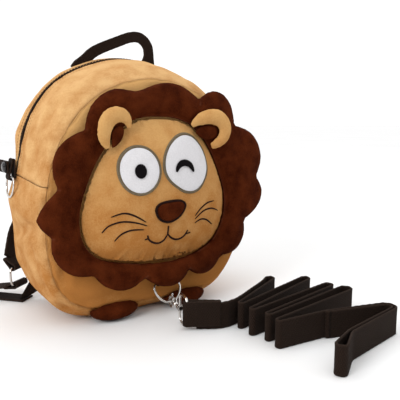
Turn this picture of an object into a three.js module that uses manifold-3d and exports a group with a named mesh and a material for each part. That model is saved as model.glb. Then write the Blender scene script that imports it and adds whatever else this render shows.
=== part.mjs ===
// Toddler harness backpack with a lion face, standing on the floor with its leash laid in front.
// Millimetres, +Z up. The origin is the centre of the flat base, the lion looks along -Y.
import * as THREE from "three";
import { mergeVertices } from "three/addons/utils/BufferGeometryUtils.js";
import Module from "manifold-3d";

const wasm = await Module();
wasm.setup();

// Driving dimensions.
const bag = { halfWidth: 110, wall: 3, seam: 0.36, middle: 113, splitHeight: 134 };
const zip = { front: 18.2, back: 25.8, sunk: 1.4, thick: 1.6 };
const panel = { edge: -48.2, crown: 7, backEdge: 50.2, backCrown: 2.5 };
const webbing = { leashWidth: 25, thick: 1.8, strapWidth: 30, beltWidth: 14 };
const wire = { ring: 1.4, bracket: 1.3 };
const lay = 0.45; // how far a sewn-on piece stands off the cloth below it

// Half outline of the bag: share of the half width, share of the height.
const outlineShares = [
  [0, 0], [0.22, 0], [0.45, 0], [0.63, 0.008], [0.795, 0.045], [0.915, 0.118], [0.982, 0.215],
  [1, 0.33], [0.99, 0.45], [0.955, 0.585], [0.89, 0.69], [0.8, 0.775], [0.66, 0.864],
  [0.53, 0.919], [0.42, 0.948], [0.3, 0.973], [0.15, 0.994], [0, 1],
];

// Sections of the side wall from the front seam to the back seam.
const stations = [
  { y: -44.8, half: 110.0, top: 228, lift: 12 },
  { y: -41, half: 112.5, top: 232, lift: 7 },
  { y: -34, half: 114.5, top: 238, lift: 2 },
  { y: -24, half: 116.5, top: 243, lift: 0 },
  { y: -6, half: 118.5, top: 248.5, lift: 0 },
  { y: 12, half: 119.2, top: 251, lift: 0 },
  { y: 30, half: 118.2, top: 250.5, lift: 0 },
  { y: 40, half: 117, top: 247, lift: 2 },
  { y: 46.8, half: 113, top: 240, lift: 8 },
];

// Corners between the lobes of the mane, each with the lobe's points that follow it, clockwise (x, z).
const lobes = [
  [[-24, 213], [-7, 221], [9, 225], [26, 223], [38, 215]],
  [[45, 209], [55, 217], [69, 220], [83, 210], [90, 197]],
  [[89, 184], [106, 181], [121, 170], [128, 154], [128, 140]],
  [[120, 129], [129, 121], [131, 111], [125, 96], [113, 87]],
  [[102, 83], [106, 73], [103, 60], [93, 50], [81, 47]],
  [[70, 48], [63, 36], [49, 31], [34, 35]],
  [[27, 41], [19, 31], [3, 27], [-11, 31]],
  [[-22, 40], [-29, 33], [-45, 29], [-62, 37]],
  [[-71, 49], [-88, 49], [-103, 62], [-109, 76]],
  [[-107, 87], [-117, 96], [-120, 106], [-112, 117]],
  [[-100, 129], [-105, 142], [-104, 155], [-97, 168], [-86, 176]],
  [[-74, 180], [-72, 195], [-59, 211], [-42, 218], [-32, 217]],
];

const faceOutline = [
  [0, 191], [-15, 191], [-28, 188], [-42, 179], [-55, 165], [-66, 149], [-75, 129], [-81, 110],
  [-82, 94], [-78, 77], [-65, 64], [-40, 57], [-13, 53], [16, 53], [40, 57], [59, 66], [70, 82],
  [75, 100], [73, 119], [66, 138], [57, 157], [46, 173], [33, 184], [17, 190],
];

const rightEye = [
  [-6.5, 144], [-5.4, 154], [-1, 163], [5.5, 170], [13.2, 175], [23, 177], [32.8, 174], [40.4, 167], [45.9, 158],
  [48, 147], [47, 138], [42.6, 130], [35, 122], [26.3, 119], [16.4, 120], [7.7, 125], [0.1, 131], [-4.3, 137],
];
const noseOutline = [[-16, 106], [-12, 112], [0, 114.5], [13, 113.5], [18, 108], [12, 98], [-1, 92.5], [-12, 97]];
const whiskers = {
  left_1: [[-57, 103], [-46, 105.7], [-36, 102.7], [-25, 96]],
  left_2: [[-65, 89], [-59, 95], [-48, 98], [-36, 96.5], [-24, 92.5]],
  left_3: [[-54, 80.5], [-48, 86.5], [-39, 89.5], [-27, 89]],
  right_1: [[55.5, 108.5], [45.5, 107.5], [36.5, 103], [29.5, 96.5]],
  right_2: [[63, 97.5], [52, 101.3], [40, 100], [29.5, 93.2]],
  right_3: [[54, 84.5], [45, 90.5], [37, 92], [29.5, 89.2]],
};

// Centre line of each ear with its half width (x, z, half width).
const ears = {
  left: [[-36, 181, 4], [-38, 189.5, 6.5], [-46.5, 193.5, 8.3], [-56, 190, 8.6], [-60.5, 180, 7.8],
    [-60, 170, 6.3], [-56.5, 163.5, 4.2]],
  right: [[30, 183, 4], [38, 188.5, 6.6], [52, 192.5, 8.6], [65.5, 189, 9], [70.5, 178, 8.4],
    [64, 167.5, 7], [53, 163, 4.6]],
};
const innerEars = {
  left: [[-53, 163], [-53.5, 170], [-53, 178], [-46.5, 183.8], [-41.2, 182.8], [-41, 176], [-45.5, 168]],
  right: [[34, 178], [43, 183.5], [53, 183.5], [61, 180], [61.5, 173.8], [54, 169.2], [44, 169.6], [37, 173.6]],
};

const V = (x, y, z) => new THREE.Vector3(x, y, z);
const mix = (a, b, t) => a + (b - a) * t;
const smooth = (a, b, x) => THREE.MathUtils.smoothstep(x, a, b);
const turn = (p) => p.map((a) => V(a[0], 0, a[1]));

// Closed surfaces are given as lists of points and triangles, and wound outward by their signed volume.
function solidOf(points, faces) {
  let volume = 0;
  for (const [a, b, c] of faces) volume += points[a].dot(points[b].clone().cross(points[c]));
  const index = faces.flatMap(([a, b, c]) => (volume < 0 ? [a, c, b] : [a, b, c]));
  const geometry = new THREE.BufferGeometry();
  geometry.setAttribute("position", new THREE.Float32BufferAttribute(points.flatMap((p) => [p.x, p.y, p.z]), 3));
  geometry.setIndex(index);
  geometry.computeVertexNormals();
  return geometry;
}

// A tube of rings: closed on itself, or ended at a point or with a flat fan.
function loft(rings, { start = null, end = null, closed = false } = {}) {
  const n = rings[0].length;
  const points = rings.flat();
  const faces = [];
  const quad = (r, s) => {
    for (let i = 0; i < n; i += 1) {
      const j = (i + 1) % n;
      faces.push([r * n + i, r * n + j, s * n + j], [r * n + i, s * n + j, s * n + i]);
    }
  };
  for (let r = 0; r + 1 < rings.length; r += 1) quad(r, r + 1);
  if (closed) quad(rings.length - 1, 0);
  else {
    const middle = (ring) => ring.reduce((a, p) => a.add(p), V(0, 0, 0)).divideScalar(n);
    const last = (rings.length - 1) * n;
    points.push(start ?? middle(rings[0]), end ?? middle(rings.at(-1)));
    for (let i = 0; i < n; i += 1) {
      const j = (i + 1) % n;
      faces.push([points.length - 2, j, i], [points.length - 1, last + i, last + j]);
    }
  }
  return solidOf(points, faces);
}

// A sheet with thickness between two grids of points.
function slab(outer, inner) {
  const rows = outer.length;
  const cols = outer[0].length;
  const points = [...outer.flat(), ...inner.flat()];
  const faces = [];
  const at = (side, r, c) => side * rows * cols + r * cols + c;
  const quad = (a, b, c, d) => faces.push([a, b, c], [a, c, d]);
  for (let r = 0; r + 1 < rows; r += 1)
    for (let c = 0; c + 1 < cols; c += 1) {
      quad(at(0, r, c), at(0, r, c + 1), at(0, r + 1, c + 1), at(0, r + 1, c));
      quad(at(1, r, c), at(1, r + 1, c), at(1, r + 1, c + 1), at(1, r, c + 1));
    }
  for (let c = 0; c + 1 < cols; c += 1) {
    quad(at(0, 0, c), at(1, 0, c), at(1, 0, c + 1), at(0, 0, c + 1));
    quad(at(0, rows - 1, c), at(0, rows - 1, c + 1), at(1, rows - 1, c + 1), at(1, rows - 1, c));
  }
  for (let r = 0; r + 1 < rows; r += 1) {
    quad(at(0, r, 0), at(0, r + 1, 0), at(1, r + 1, 0), at(1, r, 0));
    quad(at(0, r, cols - 1), at(1, r, cols - 1), at(1, r + 1, cols - 1), at(0, r + 1, cols - 1));
  }
  return solidOf(points, faces);
}

function toManifold(geometry) {
  const verts = geometry.attributes.position.array;
  return new wasm.Manifold(new wasm.Mesh({
    numProp: 3, vertProperties: new Float32Array(verts), triVerts: new Uint32Array(geometry.index.array),
  }));
}
function fromManifold(body) {
  const mesh = body.getMesh();
  const geometry = new THREE.BufferGeometry();
  geometry.setAttribute("position", new THREE.BufferAttribute(mesh.vertProperties, 3));
  geometry.setIndex(new THREE.BufferAttribute(mesh.triVerts, 1));
  geometry.computeVertexNormals();
  return geometry;
}
const joined = (list) => fromManifold(list.map(toManifold).reduce((a, b) => a.add(b)));
const cutBy = (a, b) => fromManifold(toManifold(a).subtract(toManifold(b)));

// The bag's outline as a closed curve of shares; 0 is the bottom centre, 0.5 the top.
const mirroredShares = [
  ...outlineShares.map(([x, z]) => [-x, z]),
  ...outlineShares.slice(1, -1).reverse(),
];
const outlineCurve = new THREE.CatmullRomCurve3(
  mirroredShares.map(([x, z]) => V(x * 110, 0, z * 215)), true, "centripetal");
outlineCurve.arcLengthDivisions = 800;
const share = (u) => {
  const p = outlineCurve.getPointAt(((u % 1) + 1) % 1);
  return { x: p.x / 110, z: Math.max(0, p.z / 215) };
};

// Smooth width, top and lift of the side wall at any depth.
const stationCurve = (key) => {
  const curve = stations.map((s) => [s.y, s[key]]);
  return (y) => {
    let i = curve.findIndex(([yy]) => yy > y);
    i = i < 0 ? curve.length - 1 : Math.max(1, i);
    const [y0, v0] = curve[i - 1];
    const [y1, v1] = curve[i];
    return mix(v0, v1, THREE.MathUtils.clamp((y - y0) / (y1 - y0), 0, 1));
  };
};
const halfAt = stationCurve("half");
const topAt = stationCurve("top");
const liftAt = stationCurve("lift");

// Where the cloth of the side wall gathers at the seams and sags a little between them.
const bump = (x, at, wide) => Math.exp(-(((x - at) / wide) ** 2));
const rumple = (u, y) => {
  const { x, z } = share(u);
  const side = smooth(0.3, 0.8, Math.abs(x));
  const folds = 2.8 * bump(z, 0.46, 0.07) - 2.2 * bump(z, 0.31, 0.08) + 0.8 * bump(z, 0.22, 0.06);
  const shoulders = 3.4 * bump(z, 0.84, 0.13) * smooth(0.25, 0.6, Math.abs(x));
  return (side * folds * (1 + 0.3 * Math.sin(y * 0.11)) + shoulders) * (1 - (y / 47) ** 4);
};
// The right bottom corner is slacker than the left one.
const slack = (x, z) => 1 - (x > 0 ? 0.12 * (1 - smooth(0.04, 0.42, z)) : 0);

function wallPoint(u, y, inset = 0) {
  const { x, z } = share(u);
  const lift = liftAt(y);
  const p = V(x * slack(x, z) * halfAt(y), y, lift + z * (topAt(y) - lift));
  const toMiddle = V(-p.x, 0, bag.middle - p.z).normalize();
  return p.addScaledVector(toMiddle, inset - rumple(u, y));
}
const splitShare = (() => {
  let low = 0.2;
  let high = 0.45;
  for (let i = 0; i < 40; i += 1) {
    const u = (low + high) / 2;
    if (share(u).z * 245 < bag.splitHeight) low = u;
    else high = u;
  }
  return low;
})();
const range = (a, b, n) => Array.from({ length: n + 1 }, (_, i) => mix(a, b, i / n));
const wallPatch = (us, ys, inset = 0, wall = bag.wall) => slab(
  us.map((u) => ys.map((y) => wallPoint(u, y, inset))),
  us.map((u) => ys.map((y) => wallPoint(u, y, inset + wall))));

// Front and back panels: crowned cloth over the outline at the seam.
const ringAt = (rho, y, depth, n = 40) => range(0, 1, n).slice(0, -1).map((u) => {
  const p = wallPoint(u, y);
  return V(p.x * rho, depth(rho), mix(bag.middle, p.z, rho));
});
const crown = (rho) => 1 - rho ** 2.2;
const frontY = (rho) => panel.edge - panel.crown * crown(rho);
const backY = (rho) => panel.backEdge + panel.backCrown * crown(rho);
function frontPanel() {
  const out = [0.35, 0.75, 0.975].map((rho) => ringAt(rho, -44.8, frontY));
  const back = [1, 0.5].map((rho) => ringAt(rho, -44.8, (r) => frontY(r) + bag.wall));
  const edge = ringAt(1, -44.8, () => panel.edge + 0.7);
  return loft([...out, edge, ...back], {
    start: V(0, frontY(0), bag.middle), end: V(0, frontY(0) + bag.wall, bag.middle),
  });
}
function backPanel() {
  const out = [0.55, 0.975].map((rho) => ringAt(rho, 46.8, backY));
  const back = [1, 0.55].map((rho) => ringAt(rho, 46.8, (r) => backY(r) - bag.wall));
  const edge = ringAt(1, 46.8, () => panel.backEdge - 0.7);
  return loft([...out, edge, ...back], {
    start: V(0, backY(0), bag.middle), end: V(0, backY(0) - bag.wall, bag.middle),
  });
}

// How far an outline is from its middle, by angle.
const closedCurve = (list) => {
  const curve = new THREE.CatmullRomCurve3(turn(list), true, "centripetal");
  return (t) => curve.getPoint(((t % 1) + 1) % 1);
};
function radiusByAngle(curve, middle, n = 240) {
  const table = range(0, 1, n).slice(0, -1).map((t) => {
    const p = curve(t);
    return [Math.atan2(p.z - middle.z, p.x - middle.x), Math.hypot(p.z - middle.z, p.x - middle.x)];
  }).sort((a, b) => a[0] - b[0]);
  return (angle) => {
    const a = Math.atan2(Math.sin(angle), Math.cos(angle));
    const i = table.findIndex(([b]) => b > a);
    const before = i > 0 ? table[i - 1] : [table.at(-1)[0] - (i === 0 ? 2 * Math.PI : 0), table.at(-1)[1]];
    const after = i >= 0 ? table[i] : [table[0][0] + 2 * Math.PI, table[0][1]];
    return mix(before[1], after[1], (a - before[0]) / (after[0] - before[0]));
  };
}
const shareOf = (radius, middle) => (x, z) => Math.hypot(x - middle.x, z - middle.z)
  / radius(Math.atan2(z - middle.z, x - middle.x));

// The front panel's surface at any place, going on flat beyond its edge.
const panelMiddle = { x: 0, z: bag.middle };
const panelRho = shareOf(radiusByAngle((t) => wallPoint(t, -44.8), panelMiddle), panelMiddle);
const onPanel = (x, z) => panel.edge - panel.crown * Math.max(0, crown(Math.min(1, panelRho(x, z))));

const faceMiddle = { x: -2, z: 118 };
const faceRadius = radiusByAngle(closedCurve(faceOutline), faceMiddle);
const faceShare = shareOf(faceRadius, faceMiddle);
const facePad = { edge: 4.5, middle: 17.5 };
const onFace = (x, z) => {
  const rho = Math.min(1, faceShare(x, z));
  return onPanel(x, z) - 0.5 - mix(facePad.middle, facePad.edge, rho ** 3);
};

function face() {
  const ring = (rho, depth) => range(0, 2 * Math.PI, 36).slice(0, -1).map((a) => {
    const r = (faceRadius(a) - 0.2) * rho;
    const x = faceMiddle.x + r * Math.cos(a);
    const z = faceMiddle.z + r * Math.sin(a);
    return V(x, depth(x, z), z);
  });
  const behind = (x, z) => onPanel(x, z) - 0.5;
  return loft([
    ring(0.25, onFace), ring(0.5, onFace), ring(0.7, onFace), ring(0.87, onFace),
    ring(0.97, onFace), ring(1, (x, z) => onPanel(x, z) - 3), ring(0.985, behind), ring(0.45, behind),
  ], {
    start: V(faceMiddle.x, onFace(faceMiddle.x, faceMiddle.z), faceMiddle.z),
    end: V(faceMiddle.x, behind(faceMiddle.x, faceMiddle.z), faceMiddle.z),
  });
}

// The mane: a padded scalloped ring round the face; its lowest lobe hangs free over the ring tab.
const freeLift = (x, z) => 9.5 * Math.exp(-(((x - 4) / 32) ** 2)) * (1 - smooth(36, 66, z));
const behindMane = (x, z) => onPanel(x, z) - 0.5 - 2.2 * smooth(1.05, 1.3, faceShare(x, z)) - freeLift(x, z);
function mane() {
  const centre = faceMiddle;
  const outer = [];
  lobes.forEach((lobe, k) => {
    const next = lobes[(k + 1) % lobes.length][0];
    const line = new THREE.CatmullRomCurve3(turn([...lobe, next]), false, "centripetal");
    const n = 5;
    const a0 = Math.atan2(lobe[0][1] - centre.z, lobe[0][0] - centre.x);
    let a1 = Math.atan2(next[1] - centre.z, next[0] - centre.x);
    if (a1 > a0) a1 -= 2 * Math.PI;
    range(0, 1, n).slice(0, -1).forEach((t) => outer.push({ p: line.getPointAt(t), a: mix(a0, a1, t) }));
  });
  const ring = (f, thick) => outer.map(({ p, a }) => {
    const r = faceRadius(a) + 0.25;
    const x = mix(centre.x + r * Math.cos(a), p.x, f);
    const z = mix(centre.z + r * Math.sin(a), p.z, f);
    return V(x, behindMane(x, z) - thick, z);
  });
  return loft([
    ring(0, 4.5), ring(0.14, 8.2), ring(0.45, 10), ring(0.78, 8.6), ring(0.95, 5.6), ring(1, 2.4),
    ring(0.985, 0), ring(0.4, 0), ring(0.01, 0),
  ], { closed: true });
}

// Pieces laid on the face: a disc, a ring, or a strip along a line.
const onSurface = (x, z, off) => V(x, onFace(x, z) - off, z);
function laidDisc(outline, scale, back, thick, n = 18, puff = 0, middle = null) {
  const curve = closedCurve(outline);
  const c = middle ?? outline.reduce((a, p) => [a[0] + p[0] / outline.length, a[1] + p[1] / outline.length], [0, 0]);
  const ring = (rho, off) => range(0, 1, n).slice(0, -1).map((t) => {
    const p = curve(t);
    const r = Math.hypot(p.x - c[0], p.z - c[1]);
    const k = (rho * (r + scale)) / r;
    return onSurface(c[0] + (p.x - c[0]) * k, c[1] + (p.z - c[1]) * k, off);
  });
  const top = (rho) => back + thick + puff * (1 - rho * rho);
  return loft([ring(0.6, top(0.6)), ring(0.9, top(0.9)), ring(1, back + thick * 0.6), ring(1, back), ring(0.5, back)], {
    start: onSurface(c[0], c[1], top(0)), end: onSurface(c[0], c[1], back),
  });
}
function laidRing(outline, inner, outerOff, back, thick, n = 24) {
  const curve = closedCurve(outline);
  const c = outline.reduce((a, p) => [a[0] + p[0] / outline.length, a[1] + p[1] / outline.length], [0, 0]);
  const ring = (grow, off) => range(0, 1, n).slice(0, -1).map((t) => {
    const p = curve(t);
    const r = Math.hypot(p.x - c[0], p.z - c[1]);
    const k = (r + grow) / r;
    return onSurface(c[0] + (p.x - c[0]) * k, c[1] + (p.z - c[1]) * k, off);
  });
  return loft([ring(inner, back), ring(inner, back + thick * 0.7), ring((inner + outerOff) / 2, back + thick),
    ring(outerOff, back + thick * 0.7), ring(outerOff, back)], { closed: true });
}
function laidStrip(list, widths, back, thick, n = 8) {
  const curve = new THREE.CatmullRomCurve3(turn(list), false, "centripetal");
  const rings = range(0, 1, n).map((t) => {
    const p = curve.getPointAt(t);
    const d = curve.getTangentAt(t);
    const w = widths[0] + (widths[1] - widths[0]) * Math.sin(Math.PI * t) ** 0.7;
    const side = V(-d.z, 0, d.x).multiplyScalar(w / 2);
    const [x0, z0, x1, z1] = [p.x - side.x, p.z - side.z, p.x + side.x, p.z + side.z];
    return [onSurface(x0, z0, back), onSurface(x1, z1, back), onSurface(x1, z1, back + thick * 0.7),
      onSurface(p.x, p.z, back + thick), onSurface(x0, z0, back + thick * 0.7)];
  });
  return loft(rings);
}
const roundOutline = (x, z, rx, rz, n = 16) => range(0, 2 * Math.PI, n).slice(0, -1)
  .map((a) => [x + rx * Math.cos(a), z + rz * Math.sin(a)]);
const leftEye = roundOutline(-29.2, 143.4, 20.8, 22.8);

// Ears: a padded horseshoe in front of the mane and a dark lining in its mouth.
const earY = (x, z) => Math.min(behindMane(x, z) - 9.3, onFace(x, z) - 0.4);
function ear(line) {
  const curve = new THREE.CatmullRomCurve3(line.map(([x, z, w]) => V(x, w, z)), false, "centripetal");
  const n = 8;
  const rings = range(0, 1, 11).map((t) => {
    const p = curve.getPoint(t);
    const d = curve.getTangent(t);
    const side = V(-d.z, 0, d.x).normalize();
    const half = p.y * (0.72 + 0.28 * Math.sin(Math.PI * Math.min(1, Math.max(0, t))) ** 0.5);
    return range(0, 2 * Math.PI, n).slice(0, -1).map((a) => {
      const x = p.x + side.x * half * Math.cos(a);
      const z = p.z + side.z * half * Math.cos(a);
      const deep = 0.62 * half;
      const flat = Math.sin(a) < 0 ? 0.25 : 1;
      return V(x, earY(p.x, p.z) - 0.6 - deep * (0.34 + flat * Math.sin(a)), z);
    });
  });
  return loft(rings);
}
function liner(list) {
  const curve = closedCurve(list);
  const c = list.reduce((a, p) => [a[0] + p[0] / list.length, a[1] + p[1] / list.length], [0, 0]);
  const ring = (rho, off) => range(0, 1, 20).slice(0, -1).map((t) => {
    const p = curve(t);
    const x = mix(c[0], p.x, rho * 0.91);
    const z = mix(c[1], p.z, rho * 0.91);
    return V(x, earY(x, z) - off, z);
  });
  return loft([ring(0.6, 2.2), ring(1, 1.6), ring(1, 0.5)], {
    start: V(c[0], earY(...c) - 2.4, c[1]), end: V(c[0], earY(...c) - 0.5, c[1]),
  });
}

// A belt path round circles in a plane: each circle is { c: [a, b], r, s }, s the turning sign.
function beltPath(circles, { closed = false, step = 5 } = {}) {
  const tangents = circles.map((A, i) => {
    const B = circles[(i + 1) % circles.length];
    const dx = B.c[0] - A.c[0];
    const dy = B.c[1] - A.c[1];
    const alpha = Math.atan2(dy, dx) + Math.asin((A.r * A.s - B.r * B.s) / Math.hypot(dx, dy));
    return alpha;
  });
  const path = [];
  circles.forEach((A, i) => {
    const point = (alpha) => [A.c[0] + A.r * A.s * Math.sin(alpha), A.c[1] - A.r * A.s * Math.cos(alpha), alpha];
    if (!closed && i === 0) return path.push(point(tangents[0]));
    const into = tangents[(i - 1 + circles.length) % circles.length];
    if (!closed && i === circles.length - 1) return path.push(point(into));
    let sweep = tangents[i] - into;
    while (sweep * A.s < -0.05) sweep += 2 * Math.PI * A.s;
    while (sweep * A.s > 2 * Math.PI - 0.05) sweep -= 2 * Math.PI * A.s;
    const n = Math.max(2, Math.round((step * Math.abs(sweep)) / Math.PI));
    range(0, 1, n).forEach((t) => path.push(point(into + sweep * t)));
    return null;
  });
  return path;
}
// A strip of webbing along a path [a, b, heading]; place() puts (a, b, across) into space.
function tape(path, width, thick, place, { closed = false } = {}) {
  const rings = path.map(([a, b, alpha]) => {
    const [nx, ny] = [-Math.sin(alpha) * thick / 2, Math.cos(alpha) * thick / 2];
    return [[1, -1], [1, 1], [-1, 1], [-1, -1]].map(([side, up]) => place(a + side * nx, b + side * ny, (up * width) / 2));
  });
  return loft(rings, { closed });
}
const headings = (points) => points.map(([a, b], i) => {
  const p = points[Math.max(0, i - 1)];
  const q = points[Math.min(points.length - 1, i + 1)];
  return [a, b, Math.atan2(q[1] - p[1], q[0] - p[0])];
});

// A strip of webbing through space: points, the direction across it, width and thickness.
function strip(points, across, width, thick, n = 20, widthAt = () => 1, thickAt = () => 1) {
  const curve = new THREE.CatmullRomCurve3(points.map((p) => V(...p)), false, "centripetal");
  const rings = range(0, 1, n).map((t) => {
    const p = curve.getPointAt(t);
    const d = curve.getTangentAt(t);
    const w = across(t, d);
    const side = w.addScaledVector(d, -w.dot(d)).normalize();
    const out = new THREE.Vector3().crossVectors(d, side).normalize();
    const half = (width / 2) * widthAt(t);
    return [[-1, -1], [1, -1], [1, 1], [-1, 1]].map(([i, j]) => p.clone()
      .addScaledVector(side, i * half).addScaledVector(out, (j * thick * thickAt(t)) / 2));
  });
  return loft(rings);
}

// A round wire along a closed line of points in a plane with axes e1 and e2.
function wireRing(list, origin, e1, e2, radius, n = 22, sides = 6) {
  const curve = new THREE.CatmullRomCurve3(list.map(([a, b]) => V(a, b, 0)), true, "centripetal");
  const e3 = new THREE.Vector3().crossVectors(e1, e2);
  const rings = range(0, 1, n).slice(0, -1).map((t) => {
    const p = curve.getPointAt(t);
    const d = curve.getTangentAt(t);
    const at = origin.clone().addScaledVector(e1, p.x).addScaledVector(e2, p.y);
    const out = e1.clone().multiplyScalar(-d.y).addScaledVector(e2, d.x);
    return range(0, 2 * Math.PI, sides).slice(0, -1).map((a) => at.clone()
      .addScaledVector(out, radius * Math.cos(a)).addScaledVector(e3, radius * Math.sin(a)));
  });
  return loft(rings, { closed: true });
}
const both = (list) => [...list, ...list.slice(1, -1).reverse().map(([a, b]) => [-a, b])];

const group = new THREE.Group();
const looks = {
  plush: [0xdb9c54, 0.95, 0], dark: [0x4a1e0e, 0.95, 0], webbing: [0x241812, 0.8, 0],
  white: [0xe6dfdc, 0.9, 0], rim: [0x7c7058, 0.85, 0], black: [0x0b0909, 0.6, 0],
  thread: [0x3a120a, 0.8, 0], nickel: [0xb9b6b0, 0.3, 1], gloss: [0x0a0a0b, 0.15, 0],
};
function add(name, geometry, look) {
  const [color, roughness, metalness] = looks[look];
  const mesh = new THREE.Mesh(geometry, new THREE.MeshStandardMaterial({ color, roughness, metalness }));
  mesh.name = name;
  group.add(mesh);
}

// The bag's shell.
const half = bag.seam / 2 / 700;
const lowShares = range(-splitShare + half, splitShare - half, 21);
const highShares = range(splitShare + half, 1 - splitShare - half, 18);
const frontDepths = [-44.8, -41, -34, -24, -4, zip.front - 0.15];
const backDepths = [zip.back + 0.15, 34, 41, 46.8];
const lowDepths = [-44.8, -41, -34, -24, 3, 30, 40, 46.8];
add("front_panel", frontPanel(), "plush");
add("gusset_front", wallPatch(highShares, frontDepths), "plush");
add("gusset_back", wallPatch(highShares, backDepths), "plush");
add("gusset_base", wallPatch(lowShares, lowDepths), "plush");
add("zipper", wallPatch(highShares, [zip.front + 0.15, 22, zip.back - 0.15], zip.sunk, zip.thick), "webbing");
add("back_panel", backPanel(), "plush");

// The lion.
add("mane", mane(), "dark");
add("face", face(), "plush");
add("eye_rim_left", laidRing(leftEye, -2.3, 0, lay, 1.3), "rim");
add("eye_rim_right", laidRing(rightEye, -2.3, 0, lay, 1.3), "rim");
add("eye_white_left", laidDisc(leftEye, -2.7, lay, 0.9), "white");
add("eye_white_right", laidDisc(rightEye, -2.7, lay, 0.9), "white");
add("pupil", laidDisc(roundOutline(-29.4, 142.8, 5.7, 6.7, 10), 0, lay + 1.3, 0.8, 16), "black");
add("wink", laidStrip([[7, 140.6], [9.4, 146], [16.2, 149], [23.6, 146], [27, 139.8]], [1.6, 6.4], lay + 1.3, 0.8), "black");
add("nose_rim", laidRing(noseOutline, -2.2, 0, lay, 1.3, 20), "thread");
add("nose", laidDisc(noseOutline, -2.6, lay, 1.2, 20, 1.2), "dark");
add("mouth", joined([
  laidStrip([[-25, 78.8], [-21.5, 79.8]], [1.4, 1.6], lay, 0.9, 1),
  laidStrip([[-22.6, 83], [-20.6, 78.4], [-15.8, 75], [-10, 73.6], [-4.6, 76], [-1, 82]], [1.5, 2.2], lay, 0.9, 6),
  laidStrip([[-1.2, 82], [3.4, 77.4], [10.5, 74.8], [17.6, 77.2], [21.4, 83]], [1.5, 2.2], lay, 0.9, 6),
  laidStrip([[19.6, 79.2], [25, 80.2]], [1.4, 1.6], lay, 0.9, 1),
  laidStrip([[-1, 89.9], [-1.1, 86], [-1.1, 80.8]], [1.7, 1.9], lay, 0.9, 2),
]), "thread");
for (const [name, line] of Object.entries(whiskers)) add(`whisker_${name}`, laidStrip(line, [0.9, 1.9], lay, 0.9), "thread");
for (const side of ["left", "right"]) {
  add(`ear_${side}`, ear(ears[side]), "plush");
  add(`ear_inner_${side}`, liner(innerEars[side]), "dark");
}

// Feet: padded ovals under the front edge, shaped to the bag behind them.
const bodyOf = (depths, off) => loft(depths.map((y) => [...lowShares, ...highShares].map((u) => wallPoint(u, y, -off))));
const bagSolid = bodyOf([lowDepths[0] - 0.35, ...lowDepths.slice(1)], 0.4);
const panelSolid = loft([
  ...[0.62, 0.86, 1].map((rho) => ringAt(rho * 1.004, -44.8, (r) => frontY(r) - 0.4)), ringAt(1.004, -44.8, () => -44.7),
]);
for (const [side, x] of [["left", -46.5], ["right", 31.5]]) {
  const oval = loft(range(0.12, Math.PI - 0.12, 6).map((p) => range(0, 2 * Math.PI, 16).slice(0, -1).map((a) => V(
    x + 24.5 * Math.sin(p) ** 0.8 * Math.cos(a) * (1 + 0.06 * Math.cos(2 * a)),
    -45 + 15.5 * Math.sin(p) ** 0.8 * Math.sin(a),
    9.6 - 9.4 * Math.cos(p)))));
  add(`foot_${side}`, cutBy(cutBy(oval, bagSolid), panelSolid), "dark");
}

// Carrying handle: webbing folded into a thicker grip.
const gripping = (t) => smooth(0, 0.13, t) * (1 - smooth(0.84, 0.98, t));
add("handle", cutBy(strip(
  [[-41, 36, 239], [-38, 36, 246], [-33.5, 36, 252.5], [-26.5, 36, 258.6], [-16, 36, 264.2], [0, 36, 271],
    [16, 36, 277.2], [28, 36, 277.6], [36.5, 36, 270.5], [38.5, 36, 260], [37, 36, 249], [36.5, 36, 242]],
  (t, d) => V(-d.z, 0, d.x), 22, 2.6, 28, (t) => mix(t < 0.5 ? 1 : 0.82, 0.5, gripping(t)), (t) => mix(1, 2, gripping(t))),
bodyOf(backDepths, 0.4)), "webbing");

// Front ring on its tab.
const bar = { x: 5, y: -54.8, z: 30.5 };
const ringDown = V(0, -9.2, -18.6).normalize();
add("ring_tab", tape(beltPath([
  { c: [-55.1, 43], r: 1.15, s: 1 }, { c: [bar.y, bar.z], r: wire.ring + 0.4 + 0.8, s: 1 },
], { closed: true }), 20, 1.6, (a, b, w) => V(bar.x + w, a, b), { closed: true }), "webbing");
add("d_ring", wireRing(both([
  [0, 0], [9, 0], [12.6, 0.8], [14.4, 4.2], [13.9, 9.5], [10.6, 15.6], [5.6, 19.6], [0, 20.8],
]), V(bar.x, bar.y, bar.z), V(1, 0, 0), ringDown, wire.ring, 24), "nickel");

// Snap hook: a hooked body on a stem, a sprung gate, and a bracket that turns on the stem.
const ringFoot = V(bar.x, bar.y, bar.z).addScaledVector(ringDown, 20.8);
const bracketBar = V(-3, -106.5, 15.2);
const reach = V(ringFoot.x, ringFoot.y - 2.4, ringFoot.z + 1.4);
const along = bracketBar.clone().sub(reach).normalize();
const sideways = new THREE.Vector3().crossVectors(V(0, 0, 1), along).normalize();
const upward = new THREE.Vector3().crossVectors(along, sideways).normalize();
const hookFrame = new THREE.Matrix4().makeBasis(along, sideways, upward).setPosition(reach);
const placed = (geometry) => geometry.applyMatrix4(hookFrame);
const hook = { r: 5.6, wire: 1.25, gateFrom: 42, gateTo: 126, stem: 21.5, collar: 24.6 };
function arcBar(from, to, r, w, n, across = w) {
  const rings = range(from, to, n).map((deg) => {
    const a = THREE.MathUtils.degToRad(deg);
    return range(0, 2 * Math.PI, 6).slice(0, -1).map((b) => V(
      (r + w * Math.cos(b)) * Math.cos(a), across * Math.sin(b), (r + w * Math.cos(b)) * Math.sin(a)));
  });
  return loft(rings);
}
const lathe = (profile, n = 10) => {
  const rings = profile.slice(1, -1).map(([x, r]) => range(0, 2 * Math.PI, n).slice(0, -1)
    .map((a) => V(x, r * Math.cos(a), r * Math.sin(a))));
  return loft(rings, { start: V(profile[0][0], 0, 0), end: V(profile.at(-1)[0], 0, 0) });
};
const hinge = { a: THREE.MathUtils.degToRad(38), r: hook.r + 0.8 };
const hingeAt = V(hinge.r * Math.cos(hinge.a), 0, hinge.r * Math.sin(hinge.a));
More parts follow.
